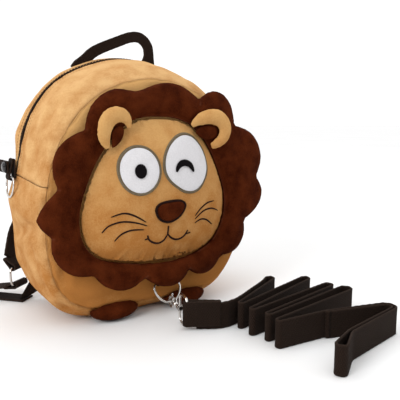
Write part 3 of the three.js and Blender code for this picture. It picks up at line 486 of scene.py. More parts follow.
# Place and direction of each fold, its half length, half width and depth (mm)
BAG_FOLDS = [
    ((-116, 8, 114), (0, 1, 0), 40, 12, -2.8), ((-113, -8, 96), (0.1, 1, 0.25), 26, 5, 1.8),
    ((-116, 4, 86), (0, 1, -0.2), 30, 5.5, 2.4), ((-112, -26, 30), (0.4, 0.9, 0.1), 12, 2.6, 1.6),
    ((-114, -20, 70), (0, 0.6, 1), 24, 6, 1.4), ((-112, 24, 62), (0, 1, 0.5), 18, 6, 1.6),
    ((-106, -30, 40), (0.2, 0.35, 1), 26, 5, 2.2), ((-92, -38, 18), (1, 0.25, -0.35), 18, 4.5, 2.2),
    ((-106, -14, 165), (0.35, 0.4, 1), 26, 6, 1.3), ((-92, -22, 195), (1, 0.3, 0.9), 24, 6, 1.2),
    ((-70, -8, 222), (1, -0.3, 0.5), 24, 7, 1.3), ((-38, -24, 240), (1, 0.5, 0.1), 22, 6, 1.3),
    ((0, -14, 248), (1, -0.4, 0), 26, 7, 1.2), ((36, -26, 240), (1, 0.3, -0.3), 22, 6, 1.2),
    ((-97, -50, 52), (0.25, 0, 1), 30, 5, 1.6), ((-82, -51, 26), (1, 0, -0.6), 20, 5, 1.8),
    ((-104, -48, 120), (0, 0, 1), 30, 4, 1.1), ((-96, -48, 170), (0.4, 0, 1), 24, 5, 1.1),
    ((-55, -52, 24), (1, 0, 0.15), 26, 5, 1.3), ((60, -52, 26), (1, 0, 0.2), 26, 5, 1.3),
    ((113, -8, 92), (0, 1, 0.25), 26, 6, 1.6), ((112, -22, 60), (0, 0.5, 1), 24, 6, 1.5),
    ((104, 4, 180), (-0.4, 0.4, 1), 26, 7, 1.3), ((72, 8, 224), (1, 0.4, -0.6), 24, 7, 1.2),
    ((-106, 36, 150), (0, 0.3, 1), 22, 5, 1.2), ((40, 52, 90), (0.5, 0, 1), 40, 9, 1.2),
    ((-45, 52, 60), (-0.6, 0, 1), 40, 9, 1.2), ((0, 52, 150), (1, 0, 0.3), 44, 10, 1.0),
]

def fold_depth(points):
    depth = np.zeros(len(points))
    for place, direction, half_length, half_width, deep in BAG_FOLDS:
        line = unit(direction)
        away = points - np.array(place, float)
        along = away @ line
        across = np.linalg.norm(away - along[:, None] * line, axis=1)
        beside = bell(across - 2 * half_width, half_width)
        depth += deep * bell(along, half_length) * (bell(across, half_width) - 0.45 * beside)
    return depth

def clouds(points, size, seed):
    shift = Vector((seed, seed * 1.7, -seed))
    return np.array([noise.noise(Vector(p) / size + shift) for p in points])

def rim_distance(node, points):
    """How far each point lies from the sharp rims of a CAD node."""
    shape = welded(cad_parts[node].data)
    found = []
    for edge in filter(is_sharp, shape.edges):
        a, b = edge.verts[0].co / MM, edge.verts[1].co / MM
        steps = max(2, int((b - a).length / 1.5))
        found += [a.lerp(b, i / steps) for i in range(steps + 1)]
    shape.free()
    tree = KDTree(len(found))
    for index, point in enumerate(found):
        tree.insert(point, index)
    tree.balance()
    return np.array([tree.find(Vector(p))[2] for p in points])

# Places on the bag: its middle, the seam between side wall and base, and where the zip's lip rises
MIDDLE = (0, 0, 120)
SPLIT_Z = 131
LIP_START, LIP_FULL = 150, 178
# The cloth stands up beside the zip: panel, middle, width and height of the raised lip
ZIP_LIP = {"gusset_front": (19, 7, 2.0), "gusset_back": (36, 10, 6.0)}

def plush_panel(node, name):
    piece = copy_of(node, name, 3)
    points, normals = points_of(piece), normals_of(piece)
    rim = rim_distance(node, points)
    gathers = 1 + 0.55 * clouds(points, 7, 3.1)
    valley = SEAM_DEPTH * bell(rim, SEAM_REACH) * gathers
    valley += 0.8 * bell(rim, 9) * clouds(points, 9, 5.3)
    slack = fold_depth(points) * FOLD_GAIN - 1.3 * clouds(points, 34, 1.0) - 0.5 * clouds(points, 15, 2.0)
    slack *= 1 - bell(rim, 7)
    if node in ("gusset_front", "gusset_base"):
        valley *= 1 - 0.65 * bell(points[:, 2] - SPLIT_Z, 7)
    if node == "gusset_front":
        slack += 0.7 * bell(points[:, 1] - 13, 1.7) * (1 + 0.6 * clouds(points, 5, 9.0))
    if node in ZIP_LIP:
        at, wide, high = ZIP_LIP[node]
        valley -= high * bell(points[:, 1] - at, wide) * eased(LIP_START, LIP_FULL, points[:, 2])
    outside = np.sum((points - MIDDLE) * normals, axis=1) >= 0
    if node == "gusset_base":
        points[:, 2] += 0.3 * bell(rim, 0.8) * (points[:, 2] > 122)
    move_points(piece, points - normals * ((valley + slack) * outside)[:, None])
    dressed(piece, front_plush_nap_and_shade if node == "front_panel" else tan_plush, "plush", node)
    return piece

PANELS = ("front_panel", "gusset_front", "gusset_back", "gusset_base", "back_panel")
panels = {node: plush_panel(node, node + "_plush") for node in PANELS}
print("bag panels:", {n: len(p.data.polygons) for n, p in panels.items()})

# %% [markdown]
# Stuffed pieces are blown up like cushions. `stuff` remeshes a piece evenly, holds its sewn points,
# and lets Blender's Cloth push the rest out with pressure for twenty frames. The cloth then wrinkles
# where it is held, as real stuffing makes it do. A cap keeps each point near the solid.

# %% Stuffing by cloth simulation
SIM_FRAMES = 20

def stuff(piece, voxel, pressure, cap, sewn, relax=6):
    remeshed(piece, voxel, relax)
    start = points_of(piece)
    held = piece.vertex_groups.new(name="sewn")
    for index, weight in enumerate(sewn(start)):
        held.add([index], float(weight), "REPLACE")
    cloth = piece.modifiers.new("cloth", "CLOTH")
    cloth.settings.quality = 5
    cloth.settings.mass = 0.2
    cloth.settings.tension_stiffness = cloth.settings.compression_stiffness = 14
    cloth.settings.bending_stiffness = 0.5
    cloth.settings.use_pressure = True
    cloth.settings.uniform_pressure_force = pressure
    cloth.settings.vertex_group_mass = "sewn"
    cloth.settings.effector_weights.gravity = 0
    cloth.collision_settings.use_collision = False
    cloth.point_cache.frame_start = 1
    cloth.point_cache.frame_end = SIM_FRAMES
    for at in range(1, SIM_FRAMES + 1):
        scene.frame_set(at)
    settled_mesh(piece)
    scene.frame_set(1)
    step = points_of(piece) - start
    far = np.linalg.norm(step, axis=1)
    step *= (np.minimum(far, cap) / np.maximum(far, 1e-6))[:, None]
    step[:, 1] = np.minimum(step[:, 1], 0)
    move_points(piece, start + step)
    print(piece.name, "swelled by at most", round(float(np.minimum(far, cap).max()), 2), "mm")
    return subdivided(piece, 1)

def tree_of(piece):
    mesh = piece.data
    return BVHTree.FromPolygons([v.co for v in mesh.vertices], [p.vertices[:] for p in mesh.polygons])

def front_y(tree, x, z, default=None):
    """How far back (mm) the first surface lies that a line from the front meets."""
    hit = tree.ray_cast(Vector((x, -300, z)) * MM, Vector((0, 1, 0)))[0]
    return hit.y / MM if hit else default

# %% [markdown]
# The mane is one scalloped layer of padded plush, sewn round the face, with free tips. Its edge is
# turned and rolled, and a thin painted highlight along it stands for the light on the roll. The vertex
# value `rim` marks that highlight by how near a point lies to the solid's sharp rims.

# %% Mane
def held_by_face(points):
    """1 under the face, where the mane is sewn, and little at its tips."""
    radius = np.hypot(points[:, 0], points[:, 2] - 122)
    return np.clip((80 - radius) / 10, 0.1, 1)

def make_mane():
    mane = copy_of("mane", "mane_plush", 1)
    stuff(mane, 1.35, 2.4, 1.4, held_by_face, relax=2)
    points, normals = points_of(mane), normals_of(mane)
    rim = rim_distance("mane", points)
    # Painted highlight along the rolled edge of the mane
    stamp(mane, "rim", bell(rim, 0.9) * 0.5)
    crown = (1.0 * clouds(points, 26, 4.0) + 0.4 * clouds(points, 10, 8.0)) * np.clip(rim / 10, 0, 1)
    groove = 0.45 * bell(rim - 3.4, 1.1)
    move_points(mane, points + normals * (crown - groove)[:, None])
    dressed(mane, brown_plush, "plush_dark", "mane")
    return mane

mane = make_mane()
mane_front = tree_of(mane)

# %% [markdown]
# The face is the fullest cushion. It is held along its sewn outline and pushed out in the middle, and
# over the last FACE_ROLL millimetres it rolls down into a tight seam on the mane. Under the mouth the
# cloth is eased in, which leaves short upright wrinkles on the chin.

# %% Face
# Place (x, z), half height and depth of each wrinkle (mm)
CHIN_WRINKLES = [
    (2, 62, 9, 1.3), (9, 64, 11, 1.1), (-9, 61, 8, 0.9),
    (17, 63, 8, 0.9), (-26, 64, 7, 0.7), (30, 66, 7, 0.7),
]
WRINKLE_WIDTH = 1.7
FACE_ROLL = 15
FACE_MIDDLE = np.array([-3.0, 118.0])
SEAM_WIDTH = 6
BACK_OF_FACE = -57

def outline(points, bins=360):
    """How far the face's outline and the point itself lie from the middle, for each point."""
    away = points[:, [0, 2]] - FACE_MIDDLE
    angle = np.arctan2(away[:, 1], away[:, 0])
    index = ((angle + math.pi) / (2 * math.pi) * bins).astype(int) % bins
    radius = np.hypot(*away.T)
    reach = np.zeros(bins)
    np.maximum.at(reach, index, radius)
    known = reach > 0
    reach = np.interp(np.arange(bins), np.arange(bins)[known], reach[known])
    return reach[index], radius

def held_by_seam(start):
    reach, radius = outline(start)
    edge = np.clip(1 - (reach - radius) / SEAM_WIDTH, 0, 1)
    return np.maximum(edge, np.where(start[:, 1] > BACK_OF_FACE, 1.0, 0.0))

def roll_to_mane(face):
    """Brings the edge of the face down to the mane, and marks its seam for painted shade."""
    points = points_of(face)
    reach, radius = outline(points)
    inside = np.clip((reach - radius) / FACE_ROLL, 0, 1)
    away = points[:, [0, 2]] - FACE_MIDDLE
    beside = FACE_MIDDLE + away * ((reach + 2.5) / np.maximum(radius, 1))[:, None]
    seat = 0.4 + np.array([front_y(mane_front, x, z, -56) for x, z in beside])
    forward = seat - points[:, 1]
    lip = np.where(forward > 0, 1.2 * (1 - inside) ** 3, -3.0)
    points[:, [0, 2]] += away / np.maximum(radius, 1)[:, None] * lip[:, None]
    rolled = seat - forward * (1 - (1 - inside) ** 2) ** 0.62
    points[:, 1] = np.where(forward > 0, rolled, points[:, 1])
    move_points(face, points)
    # Painted shade: the face's hidden side and its last millimetres beside the mane take the dark seam
    # colour
    edge = np.clip(1 - (reach - radius) / 1.4, 0, 1) * 0.6
    stamp(face, "rim", np.where((forward < 0.3) & (reach - radius < 2.0), 0.85, edge))

def make_face():
    face = copy_of("face", "face_plush", 1)
    stuff(face, 2.4, 3.0, 1.6, held_by_seam)
    roll_to_mane(face)
    points, normals = points_of(face), normals_of(face)
    dent = 0.35 * clouds(points, 16, 6.0)
    for x, z, tall, deep in CHIN_WRINKLES:
        up = points[:, 2] - z
        dent += deep * bell(points[:, 0] - x - 0.12 * up, WRINKLE_WIDTH) * bell(up, tall)
    move_points(face, points - normals * dent[:, None])
    dressed(face, front_plush_nap_and_shade, "plush", "face")
    return face

face = make_face()
face_front = tree_of(face)
cad_face_front = tree_of(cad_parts["face"])

# %% Ears, their linings and the feet
FOOT_LOWEST = 0.3

def small_cushion(node, finish, slot, voxel, pressure, cap):
    piece = copy_of(node, node + "_plush", 1)
    back = points_of(piece)[:, 1].max()
    stuff(piece, voxel, pressure, cap, lambda p: np.where(p[:, 1] > back - 2.0, 1.0, 0.05), relax=5)
    if node.startswith("foot"):
        points = points_of(piece)
        points[:, 2] = np.maximum(points[:, 2], FOOT_LOWEST)
        move_points(piece, points)
    dressed(piece, finish, slot, node)

for side in ("left", "right"):
    small_cushion("ear_" + side, front_plush_nap_and_shade, "plush", 1.1, 4.0, 1.5)
    small_cushion("foot_" + side, brown_plush, "plush_dark", 1.3, 3.0, 1.0)
    lining = copy_of("ear_inner_" + side, "ear_lining_" + side)
    dressed(lining, brown_plush, "plush_dark", "ear_inner_" + side)

# %% [markdown]
# The eyes, nose, whiskers and mouth are sewn onto the face, so they follow the cloth that the
# simulation moved. `lay_on_face` shifts each point of a CAD disc by as much as the face moved there.

# %% Felt pieces on the face
def lay_on_face(piece):
    points = points_of(piece)
    for p in points:
        new = front_y(face_front, p[0], p[2])
        old = front_y(cad_face_front, p[0], p[2])
        if new is not None and old is not None:
            p[1] += new - old
    move_points(piece, points)

# Node, finish, slot, rounding, and its scale: felt reaches a little under its satin rim
FELT = [
    ("eye_white_left", white_felt, "felt", 3, 1.03),
    ("eye_white_right", white_felt, "felt", 3, 1.03),
    ("pupil", black_felt, "black_felt", 2, 1),
    ("wink", black_felt, "black_felt", 2, 1),
    ("nose", brown_plush, "plush_dark", 2, 1.05),
]
for node, finish, slot, levels, scale in FELT:
    patch = copy_of(node, node + "_patch", levels)
    points = points_of(patch)
    middle = (points.min(0) + points.max(0)) / 2
    middle[1] = 0
    move_points(patch, middle + (points - middle) * (scale, 1, scale))
    lay_on_face(patch)
    dressed(patch, finish, slot, node)

# %% [markdown]
# Satin stitch is thread laid side by side across a line. One ribbon mesh with four samples to a
# stitch gives the rows as real relief, domed across and tapering at its ends. `grid_faces` joins the
# rows of points into faces; straps use it too.

# %% Satin stitch
STITCH = 0.62
SUNK = 0.25
BACKING = 0.2

def smooth_line(points, step, closed=False):
    """A Catmull-Rom line through the points, sampled evenly."""
    given = np.array(points, float)
    n = len(given)

    def at(i):
        return given[i % n] if closed else given[min(max(i, 0), n - 1)]

    dense = []
    for i in range(n if closed else n - 1):
        a, b, c, d = at(i - 1), at(i), at(i + 1), at(i + 2)
        square, cube = 2 * a - 5 * b + 4 * c - d, 3 * b - a - 3 * c + d
        for t in np.linspace(0, 1, 17)[:-1]:
            dense.append(0.5 * (2 * b + (c - a) * t + square * t**2 + cube * t**3))
    dense.append(at(0) if closed else given[-1])
    dense = np.array(dense)
    run = run_along(dense)
    even = np.linspace(0, run[-1], max(3, int(run[-1] / step)) + 1)
    return np.stack([np.interp(even, run, dense[:, k]) for k in range(dense.shape[1])], axis=1), even

def run_along(line):
    """The distance from the start of a line to each of its points."""
    return np.concatenate([[0], np.cumsum(np.linalg.norm(np.diff(line, axis=0), axis=1))])

def ahead_of(line, closed):
    """The direction of a line at each of its points."""
    ahead = np.roll(line, -1, 0) - np.roll(line, 1, 0) if closed else np.gradient(line, axis=0)
    return ahead / np.maximum(np.linalg.norm(ahead, axis=1), 1e-9)[:, None]

def grid_faces(start, rows, columns, closed_rows, closed_columns=False):
    """Faces between rows of points. A closed grid joins its last row or column to the first."""
    faces = []
    for i in range(rows if closed_rows else rows - 1):
        j = (i + 1) % rows
        for k in range(columns if closed_columns else columns - 1):
            m = (k + 1) % columns
            corners = ((i, k), (i, m), (j, m), (j, k))
            faces.append([start + row * columns + column for row, column in corners])
    return faces

def mesh_of(name, verts, faces):
    mesh = bpy.data.meshes.new(name)
    mesh.from_pydata([tuple(MM * c for c in v) for v in verts], [], faces)
    return mesh

def satin(name, lines, finish, slot, *nodes, lift, closed=False):
    """lines: (points as x, z; width at the ends; width in the middle), all in mm."""
    verts, faces = [], []
    across = np.linspace(-1, 1, 9)
    for points, thin, wide in lines:
        line, run = smooth_line(points, STITCH / 4, closed)
        if closed:
            line, run = line[:-1], run[:-1]
        ahead = ahead_of(line, closed)
        side = np.stack([-ahead[:, 1], ahead[:, 0]], axis=1)
        bulge = np.sin(np.pi * np.clip(run / run[-1], 0, 1)) ** 0.6
        width = wide if closed else thin + (wide - thin) * bulge
        half = np.broadcast_to(width, len(line)) / 2
        faces += grid_faces(len(verts), len(line), len(across), closed)
        for i, place in enumerate(line):
            row = 0.55 + 0.45 * abs(math.sin(math.pi * run[i] / STITCH))
            for v in across:
                frayed = half[i] * (1 + 0.05 * math.sin(run[i] * 9.1 + 3 * v))
                x, z = place + side[i] * v * frayed
                base = front_y(face_front, x, z, -60)
                dome = (1 - v**4) ** 0.5
                verts.append((x, base + SUNK - (lift + SUNK) * dome * row, z))
    piece = new_piece(name, mesh_of(name, verts, faces))
    backing = piece.modifiers.new("backing", "SOLIDIFY")
    backing.thickness = -BACKING * MM
    backing.offset = -1
    settled_mesh(piece)
    dressed(piece, finish, slot, *nodes)

# %% Rims, whiskers and mouth
ROUND = np.linspace(0, 2 * math.pi, 17)[:-1]
LEFT_EYE = [(-29.2 + 20.8 * math.cos(a), 143.4 + 22.8 * math.sin(a)) for a in ROUND]
RIGHT_EYE = [
    (-6.5, 144), (-5.4, 154), (-1, 163), (5.5, 170), (13.2, 175), (23, 177), (32.8, 174), (40.4, 167),
    (45.9, 158), (48, 147), (47, 138), (42.6, 130), (35, 122), (26.3, 119), (16.4, 120), (7.7, 125),
    (0.1, 131), (-4.3, 137),
]
NOSE = [(-16, 106), (-12, 112), (0, 114.5), (13, 113.5), (18, 108), (12, 98), (-1, 92.5), (-12, 97)]
WHISKERS = {
    "left_1": [(-57, 103), (-46, 105.7), (-36, 102.7), (-25, 96)],
    "left_2": [(-65, 89), (-59, 95), (-48, 98), (-36, 96.5), (-24, 92.5)],
    "left_3": [(-54, 80.5), (-48, 86.5), (-39, 89.5), (-27, 89)],
    "right_1": [(55.5, 108.5), (45.5, 107.5), (36.5, 103), (29.5, 96.5)],
    "right_2": [(63, 97.5), (52, 101.3), (40, 100), (29.5, 93.2)],
    "right_3": [(54, 84.5), (45, 90.5), (37, 92), (29.5, 89.2)],
}
MOUTH = [
    ([(-25, 78.8), (-21.5, 79.8)], 1.4, 1.6),
    ([(-22.6, 83), (-20.6, 78.4), (-15.8, 75), (-10, 73.6), (-4.6, 76), (-1, 82)], 1.5, 2.2),
    ([(-1.2, 82), (3.4, 77.4), (10.5, 74.8), (17.6, 77.2), (21.4, 83)], 1.5, 2.2),
    ([(19.6, 79.2), (25, 80.2)], 1.4, 1.6),
    ([(-1, 89.9), (-1.1, 86), (-1.1, 80.8)], 1.7, 1.9),
]
# Node, outline, distance inside it, width, finish, slot and height of the satin
RIMS = [
    ("eye_rim_left", LEFT_EYE, 1.2, 2.6, olive_thread, "rim_stitch", 1.6),
    ("eye_rim_right", RIGHT_EYE, 1.2, 2.6, olive_thread, "rim_stitch", 1.6),
    ("nose_rim", NOSE, 1.1, 2.3, brown_thread, "thread", 1.9),
]

def drawn_in(given, by):
    """An outline moved towards its middle by a distance."""
    points = np.array(given, float)
    away = points - points.mean(0)
    return points - away / np.linalg.norm(away, axis=1)[:, None] * by

for node, given, inset, wide, finish, slot, lift in RIMS:
    line = (drawn_in(given, inset), wide, wide)
    satin(node + "_thread", [line], finish, slot, node, lift=lift, closed=True)
satin("mouth_thread", MOUTH, brown_thread, "thread", "mouth", lift=0.7)
for name, line in WHISKERS.items():
    satin("whisker_thread_" + name, [(line, 0.9, 1.9)], brown_thread, "thread", "whisker_" + name, lift=0.65)

# %% [markdown]
# Webbing isn't cloth to simulate: it is stiff and keeps its lay. A strap is a route of points, a
# direction across it at each point, a width and a thickness. Its section is a flat bar with rounded,
# slightly swollen selvedges, and each vertex stores its place in the weave.

# %% Straps from routes
# Across the strap: share of the half width, and share of the half thickness there
SECTION = [(v, 1.0 + 0.12 * (abs(v) > 0.85) - 0.9 * (abs(v) == 1))
           for v in (-1, -0.95, -0.86, -0.6, -0.2, 0.2, 0.6, 0.86, 0.95, 1)]
RING = SECTION + [(v, -h) for v, h in SECTION[::-1]]

def strap(name, parts, *nodes):
    """parts: (route, across, half widths, thickness, closed), lengths in mm."""
    verts, faces, weave = [], [], []
    for route, across, halves, thick, closed in parts:
        ahead = ahead_of(route, closed)
        across = across - ahead * np.sum(across * ahead, axis=1)[:, None]
        across /= np.linalg.norm(across, axis=1)[:, None]
        out = np.cross(ahead, across)
        run = run_along(route)
        start, rows, count = len(verts), len(route), len(RING)
        for i, point in enumerate(route):
            for v, h in RING:
                ripple = 1 + 0.012 * math.sin(run[i] * 0.9 + 2 * v)
                verts.append(point + across[i] * v * halves[i] * ripple + out[i] * h * thick / 2)
                weave.append((run[i], v * halves[i], max(0.0, abs(v) - 0.9) * 10))
        faces += grid_faces(start, rows, count, closed, True)
        if not closed:
            faces.append([start + k for k in range(count)])
            faces.append([start + (rows - 1) * count + k for k in reversed(range(count))])
    mesh = mesh_of(name, verts, faces)
    shape = bmesh.new()
    shape.from_mesh(mesh)
    bmesh.ops.recalc_face_normals(shape, faces=shape.faces[:])
    shape.to_mesh(mesh)
    shape.free()
    piece = new_piece(name, mesh)
    stamp(piece, "weave", weave)
    dressed(piece, dark_webbing, "webbing", *nodes)

def even_strap(route, across, width, thick, closed=False):
    """One part of a strap with the same width and direction across all along."""
    rows = len(route)
    return route, np.tile(np.array(across, float), (rows, 1)), np.full(rows, width / 2), thick, closed

ARC_STEPS = 12

def belt(circles, closed=False):
    """A belt round circles: (centre a, centre b, radius, turning sign). Gives points in the plane."""
    n = len(circles)
    aims = []
    for i, (ax, ay, ar, turn) in enumerate(circles):
        bx, by, br, other = circles[(i + 1) % n]
        slant = math.asin((ar * turn - br * other) / math.hypot(bx - ax, by - ay))
        aims.append(math.atan2(by - ay, bx - ax) + slant)
    path = []
    for i, (cx, cy, r, turn) in enumerate(circles):
        def point(aim):
            return (cx + r * turn * math.sin(aim), cy - r * turn * math.cos(aim))

        if not closed and i in (0, n - 1):
            path.append(point(aims[0] if i == 0 else aims[i - 1]))
            continue
        into = aims[(i - 1) % n]
        sweep = aims[i] - into
        while sweep * turn < -0.05:
            sweep += 2 * math.pi * turn
        while sweep * turn > 2 * math.pi - 0.05:
            sweep -= 2 * math.pi * turn
        steps = max(3, round(ARC_STEPS * abs(sweep) / math.pi))
        path += [point(into + sweep * t) for t in np.linspace(0, 1, steps)]
    return path

def evened(path, closed, step=2.0):
    """Adds points so that no stretch of a route is longer than a step."""
    points = [np.array(p, float) for p in path]
    if closed:
        points.append(points[0])
    out = [points[0]]
    for a, b in zip(points, points[1:]):
        length = np.linalg.norm(b - a)
        if length < 0.05:
            continue
        parts = max(1, int(math.ceil(length / step)))
        out += [a + (b - a) * i / parts for i in range(1, parts + 1)]
    return np.array(out[:-1] if closed else out)

# %% [markdown]
# The leash stands on edge on the floor, folded to and fro as the photograph shows. Its start loops
# through the snap hook's bracket and is stitched; its end is doubled back into a flat hand loop.

# %% Leash
LEASH_WIDTH = 25
STITCHED_WIDTH = 24
WEBBING_THICK = 1.8
FLOOR_GAP = 0.2
# The bracket's bar: its middle, its wire's radius with a little play, and the turn of the stitched end
BRACKET = (-3, -106.5, 15.2)
BRACKET_BAR = 1.3 + 0.95
STITCHED_TURN = (21.2, -121.9, 1.3, 1)
LEAD_OUT = [
    (4, -111.1), (10, -115), (16, -119), (23, -122.3), (31, -123.3), (42, -121), (55, -115), (70, -107),
    (86, -99), (100, -91.5),
]
FOLDS = [
    (100, -91.5, 0.01, 1), (112, -88.5, 4.4, -1), (40, -131.4, 2.6, 1), (142.5, -109.5, 4.6, -1),
    (38.5, -149.4, 2.6, 1), (145.5, -138.5, 4.6, -1), (42, -166.6, 2.6, 1), (150.5, -156.5, 6, -1),
    (40, -182.5, 3, 1), (89, -189.4, 0.01, 1),
]
TIP = (140.5, -212)
BEND = (77, -252)
HAND_LOOP = [
    (88, -191.2, 1.5, -1), (*TIP, 8, -1), (*BEND, 20, 1), (45.5, -243.5, 4.4, -1), (*BEND, 23.6, -1),
    (*TIP, 4.6, 1),
]

def on_edge(path, closed, width, middle):
    """A part of the leash that stands on edge, with its middle at a height."""
    flat = evened(path, closed)
    route = np.column_stack([flat, np.full(len(flat), middle)])
    return even_strap(route, (0, 0, 1), width, WEBBING_THICK, closed)

lead = LEAD_OUT + belt(FOLDS)[1:]
stitched_end = belt([(*BRACKET[:2], BRACKET_BAR + WEBBING_THICK / 2, 1), STITCHED_TURN], closed=True)
hand_loop = belt(HAND_LOOP, closed=True)
mid = LEASH_WIDTH / 2 + FLOOR_GAP
strap("leash_webbing", [
    on_edge(lead, False, LEASH_WIDTH, mid),
    on_edge(stitched_end, True, STITCHED_WIDTH, BRACKET[2]),
    on_edge(hand_loop, True, LEASH_WIDTH, mid),
], "leash")

# %% [markdown]
# The grab handle is one strap that stands flat at its sewn ends and is folded in half where a hand
# grips it. It is built from two layers all along, and its width halves at the grip.

# %% Handle
HANDLE = [
    (-41, 36, 239), (-38, 36, 246), (-33.5, 36, 252.5), (-26.5, 36, 258.6), (-16, 36, 264.2), (0, 36, 271),
    (16, 36, 277.2), (28, 36, 277.6), (36.5, 36, 270.5), (38.5, 36, 260), (37, 36, 249), (36.5, 36, 242),
]
LEFT_HALF, RIGHT_HALF, GRIP_HALF = 11, 9, 5.5
LAYER_THICK = 1.7

def make_handle():
    route, run = smooth_line(HANDLE, 1.5)
    share = run / run[-1]
    grip = eased(0.0, 0.13, share) * (1 - eased(0.84, 0.98, share))
    ends = np.where(share < 0.5, LEFT_HALF, RIGHT_HALF)
    halves = ends + (GRIP_HALF - ends) * grip
    ahead = np.gradient(route, axis=0)
    across = np.stack([-ahead[:, 2], np.zeros(len(route)), ahead[:, 0]], axis=1)
    layers = [(route + (0, y, 0), across, halves, LAYER_THICK, False) for y in (-1.0, 1.0)]
    strap("handle_webbing", layers, "handle")

make_handle()

# %% [markdown]
# The harness: two shoulder straps from the top of the back to nickel rings, loops below them that lie
# on the floor, corner tabs, and a chest belt that starts at the sides. The photograph shows only the
# left ends; the rest follows how such harnesses are made. One function makes each side.

# %% Harness straps
RING_WIRE = 1.4
WRAP_LENGTH = 12
SIDE_Y = 22
# The lower strap runs out over the floor and folds back: out, up, radius and sign of each turn
LOWER_FOLD = [(9, 14.8, 0.01, 1), (44, 5.4, 4, -1), (-9, 1.2, 0.01, 1)]

def wrap(at, away, across, width, thick):
    """A closed loop of webbing round a ring's bar, sewn together a little further away."""
    e1 = unit(away)
    e3 = np.array(across, float)
    e3 = unit(e3 - e1 * (e3 @ e1))
    e2 = np.cross(e3, e1)
    bar = (0, 0, RING_WIRE + 0.65 + thick / 2, 1)
    flat = evened(belt([bar, (WRAP_LENGTH, 0, thick * 0.55, 1)], closed=True), True, 1.0)
    route = np.array(at, float) + flat[:, :1] * e1 + flat[:, 1:] * e2
    return even_strap(route, e3, width, thick, True)

def harness_side(side, s):
    """All webbing of one side; s is -1 on the left and 1 on the right."""
    top_bar = np.array([s * 107, 63, 37.0])
    low_bar = np.array([s * 106, 63, 17.5])
    upwards = unit([s * 0.5, 0.57, 0.66])
    bars = unit([-0.75 * s, 0.66, 0])
    line, run = smooth_line([
        (s * 34, 52.9, 194), (s * 35, 55.6, 212), (s * 40, 66, 219), (s * 52, 86, 205), (s * 67, 101, 165),
        (s * 76, 103, 118), (s * 83, 99, 90), (s * 99, 89, 66), tuple(top_bar + upwards * 9),
    ], 2.0)
    share = run / run[-1]
    turn = eased(0.5, 0.97, share)[:, None]
    across = np.array([1.0, 0, 0]) * (1 - turn) + bars * -s * turn
    shoulder = (line, across, 15 * (1 - 0.25 * eased(0.7, 1, share)), 2.2, False)
    held = wrap(top_bar, upwards, bars, 19, 1.8)
    strap("shoulder_webbing_" + side, [shoulder, held], "shoulder_strap_" + side)

    out = unit([s * 0.66, 0.75, 0])
    sideways = (-out[1], out[0], 0)
    flat = evened(belt(LOWER_FOLD), False)
    low = np.array([low_bar[0], low_bar[1], 0]) + flat[:, :1] * out + flat[:, 1:] * np.array([0, 0, 1.0])
    held = wrap(low_bar, (out[0], out[1], -0.28), sideways, 20, 1.6)
    strap("lower_webbing_" + side, [held, even_strap(low, sideways, 20, 1.6)], "strap_lower_" + side)

    tab = belt([(s * 117.4, 151, 0.95, s), (s * 119.4, 135, 1.2 + 0.75 + 0.7, s)], closed=True)
    tab = evened(tab, True, 1.0)
    tab = np.column_stack([tab[:, 0], np.full(len(tab), SIDE_Y), tab[:, 1]])
    strap("side_tab_webbing_" + side, [even_strap(tab, (0, 1, 0), 12, 1.4, True)], "side_tab_" + side)

    chest = smooth_line([
        (s * 123, SIDE_Y - 6, 144.7), (s * 123, 40, 144.7), (s * 122.4, 62, 144), (s * 117, 92, 142),
        (s * 104, 114, 138), (s * 76, 124, 132), (s * 44, 129, 121), (s * 24, 130, 118),
        (s * 14.5, 130, 118),
    ], 2.0)[0]
    strap("chest_webbing_" + side, [even_strap(chest, (0, 0, 1), 12, 1.4)], "chest_strap_" + side)

    corner = copy_of("strap_tab_" + side, "corner_tab_" + side)
    points = points_of(corner)
    stamp(corner, "weave", np.column_stack([points[:, 2], points[:, 0], np.zeros(len(points))]))
    dressed(corner, dark_webbing, "webbing", "strap_tab_" + side)

harness_side("left", -1)
harness_side("right", 1)

ring_loop = belt([(-55.1, 43, 1.15, 1), (-54.8, 30.5, 1.4 + 0.4 + 0.8, 1)], closed=True)
ring_loop = evened(ring_loop, True, 1.0)
ring_loop = np.column_stack([np.full(len(ring_loop), 5.0), ring_loop])
strap("ring_tab_webbing", [even_strap(ring_loop, (1, 0, 0), 20, 1.6, True)], "ring_tab")

# %% [markdown]
# Hardware is cast and bent metal, and the buckle is plastic. The CAD solids have the right shapes with
# few facets, so a fine voxel remesh and a little smoothing give round wires and soft-edged castings.

# %% Hardware
# The side rings hang a little lower and further forward than their solids
RING_STRETCH = (1, 1.26, 1.06)
RING_OUTWARD = 1.0
RING_FORWARD = 3.5

def cast(node, finish, slot, voxel, calm, body="bag"):
    is_ring = "ring" in node
    piece = copy_of(node, node + "_metal", 1 if is_ring else 0, crease=not is_ring)
    remeshed(piece, voxel, calm)
    return dressed(piece, finish, slot, node, body=body)

cast("d_ring", nickel, "nickel", 0.33, 4)
cast("hook_body", nickel, "nickel", 0.27, 4)
cast("hook_gate", nickel, "nickel", 0.22, 3, body="gate")
cast("hook_eye", nickel, "nickel", 0.3, 4)
cast("zip_slider", nickel, "nickel", 0.3, 4)
for side, s in (("left", -1), ("right", 1)):
    cast("strap_ring_" + side, nickel, "nickel", 0.33, 4)
    ring = cast("side_ring_" + side, nickel, "nickel", 0.3, 4)
    points = points_of(ring)
    middle = points.mean(0)
    shift = (s * RING_OUTWARD, -RING_FORWARD, 0)
    move_points(ring, middle + (points - middle) * RING_STRETCH + shift)
    cast("side_rivet_" + side, gloss_black, "gloss", 0.22, 6)
cast("chest_buckle", gloss_black, "gloss", 0.5, 4)

# %% [markdown]
# The zip is a tape with a coil of teeth. The tape is the CAD band, lifted with the cloth beside it; the
# teeth stand along its middle, found by casting lines from far outside towards the middle of the bag.

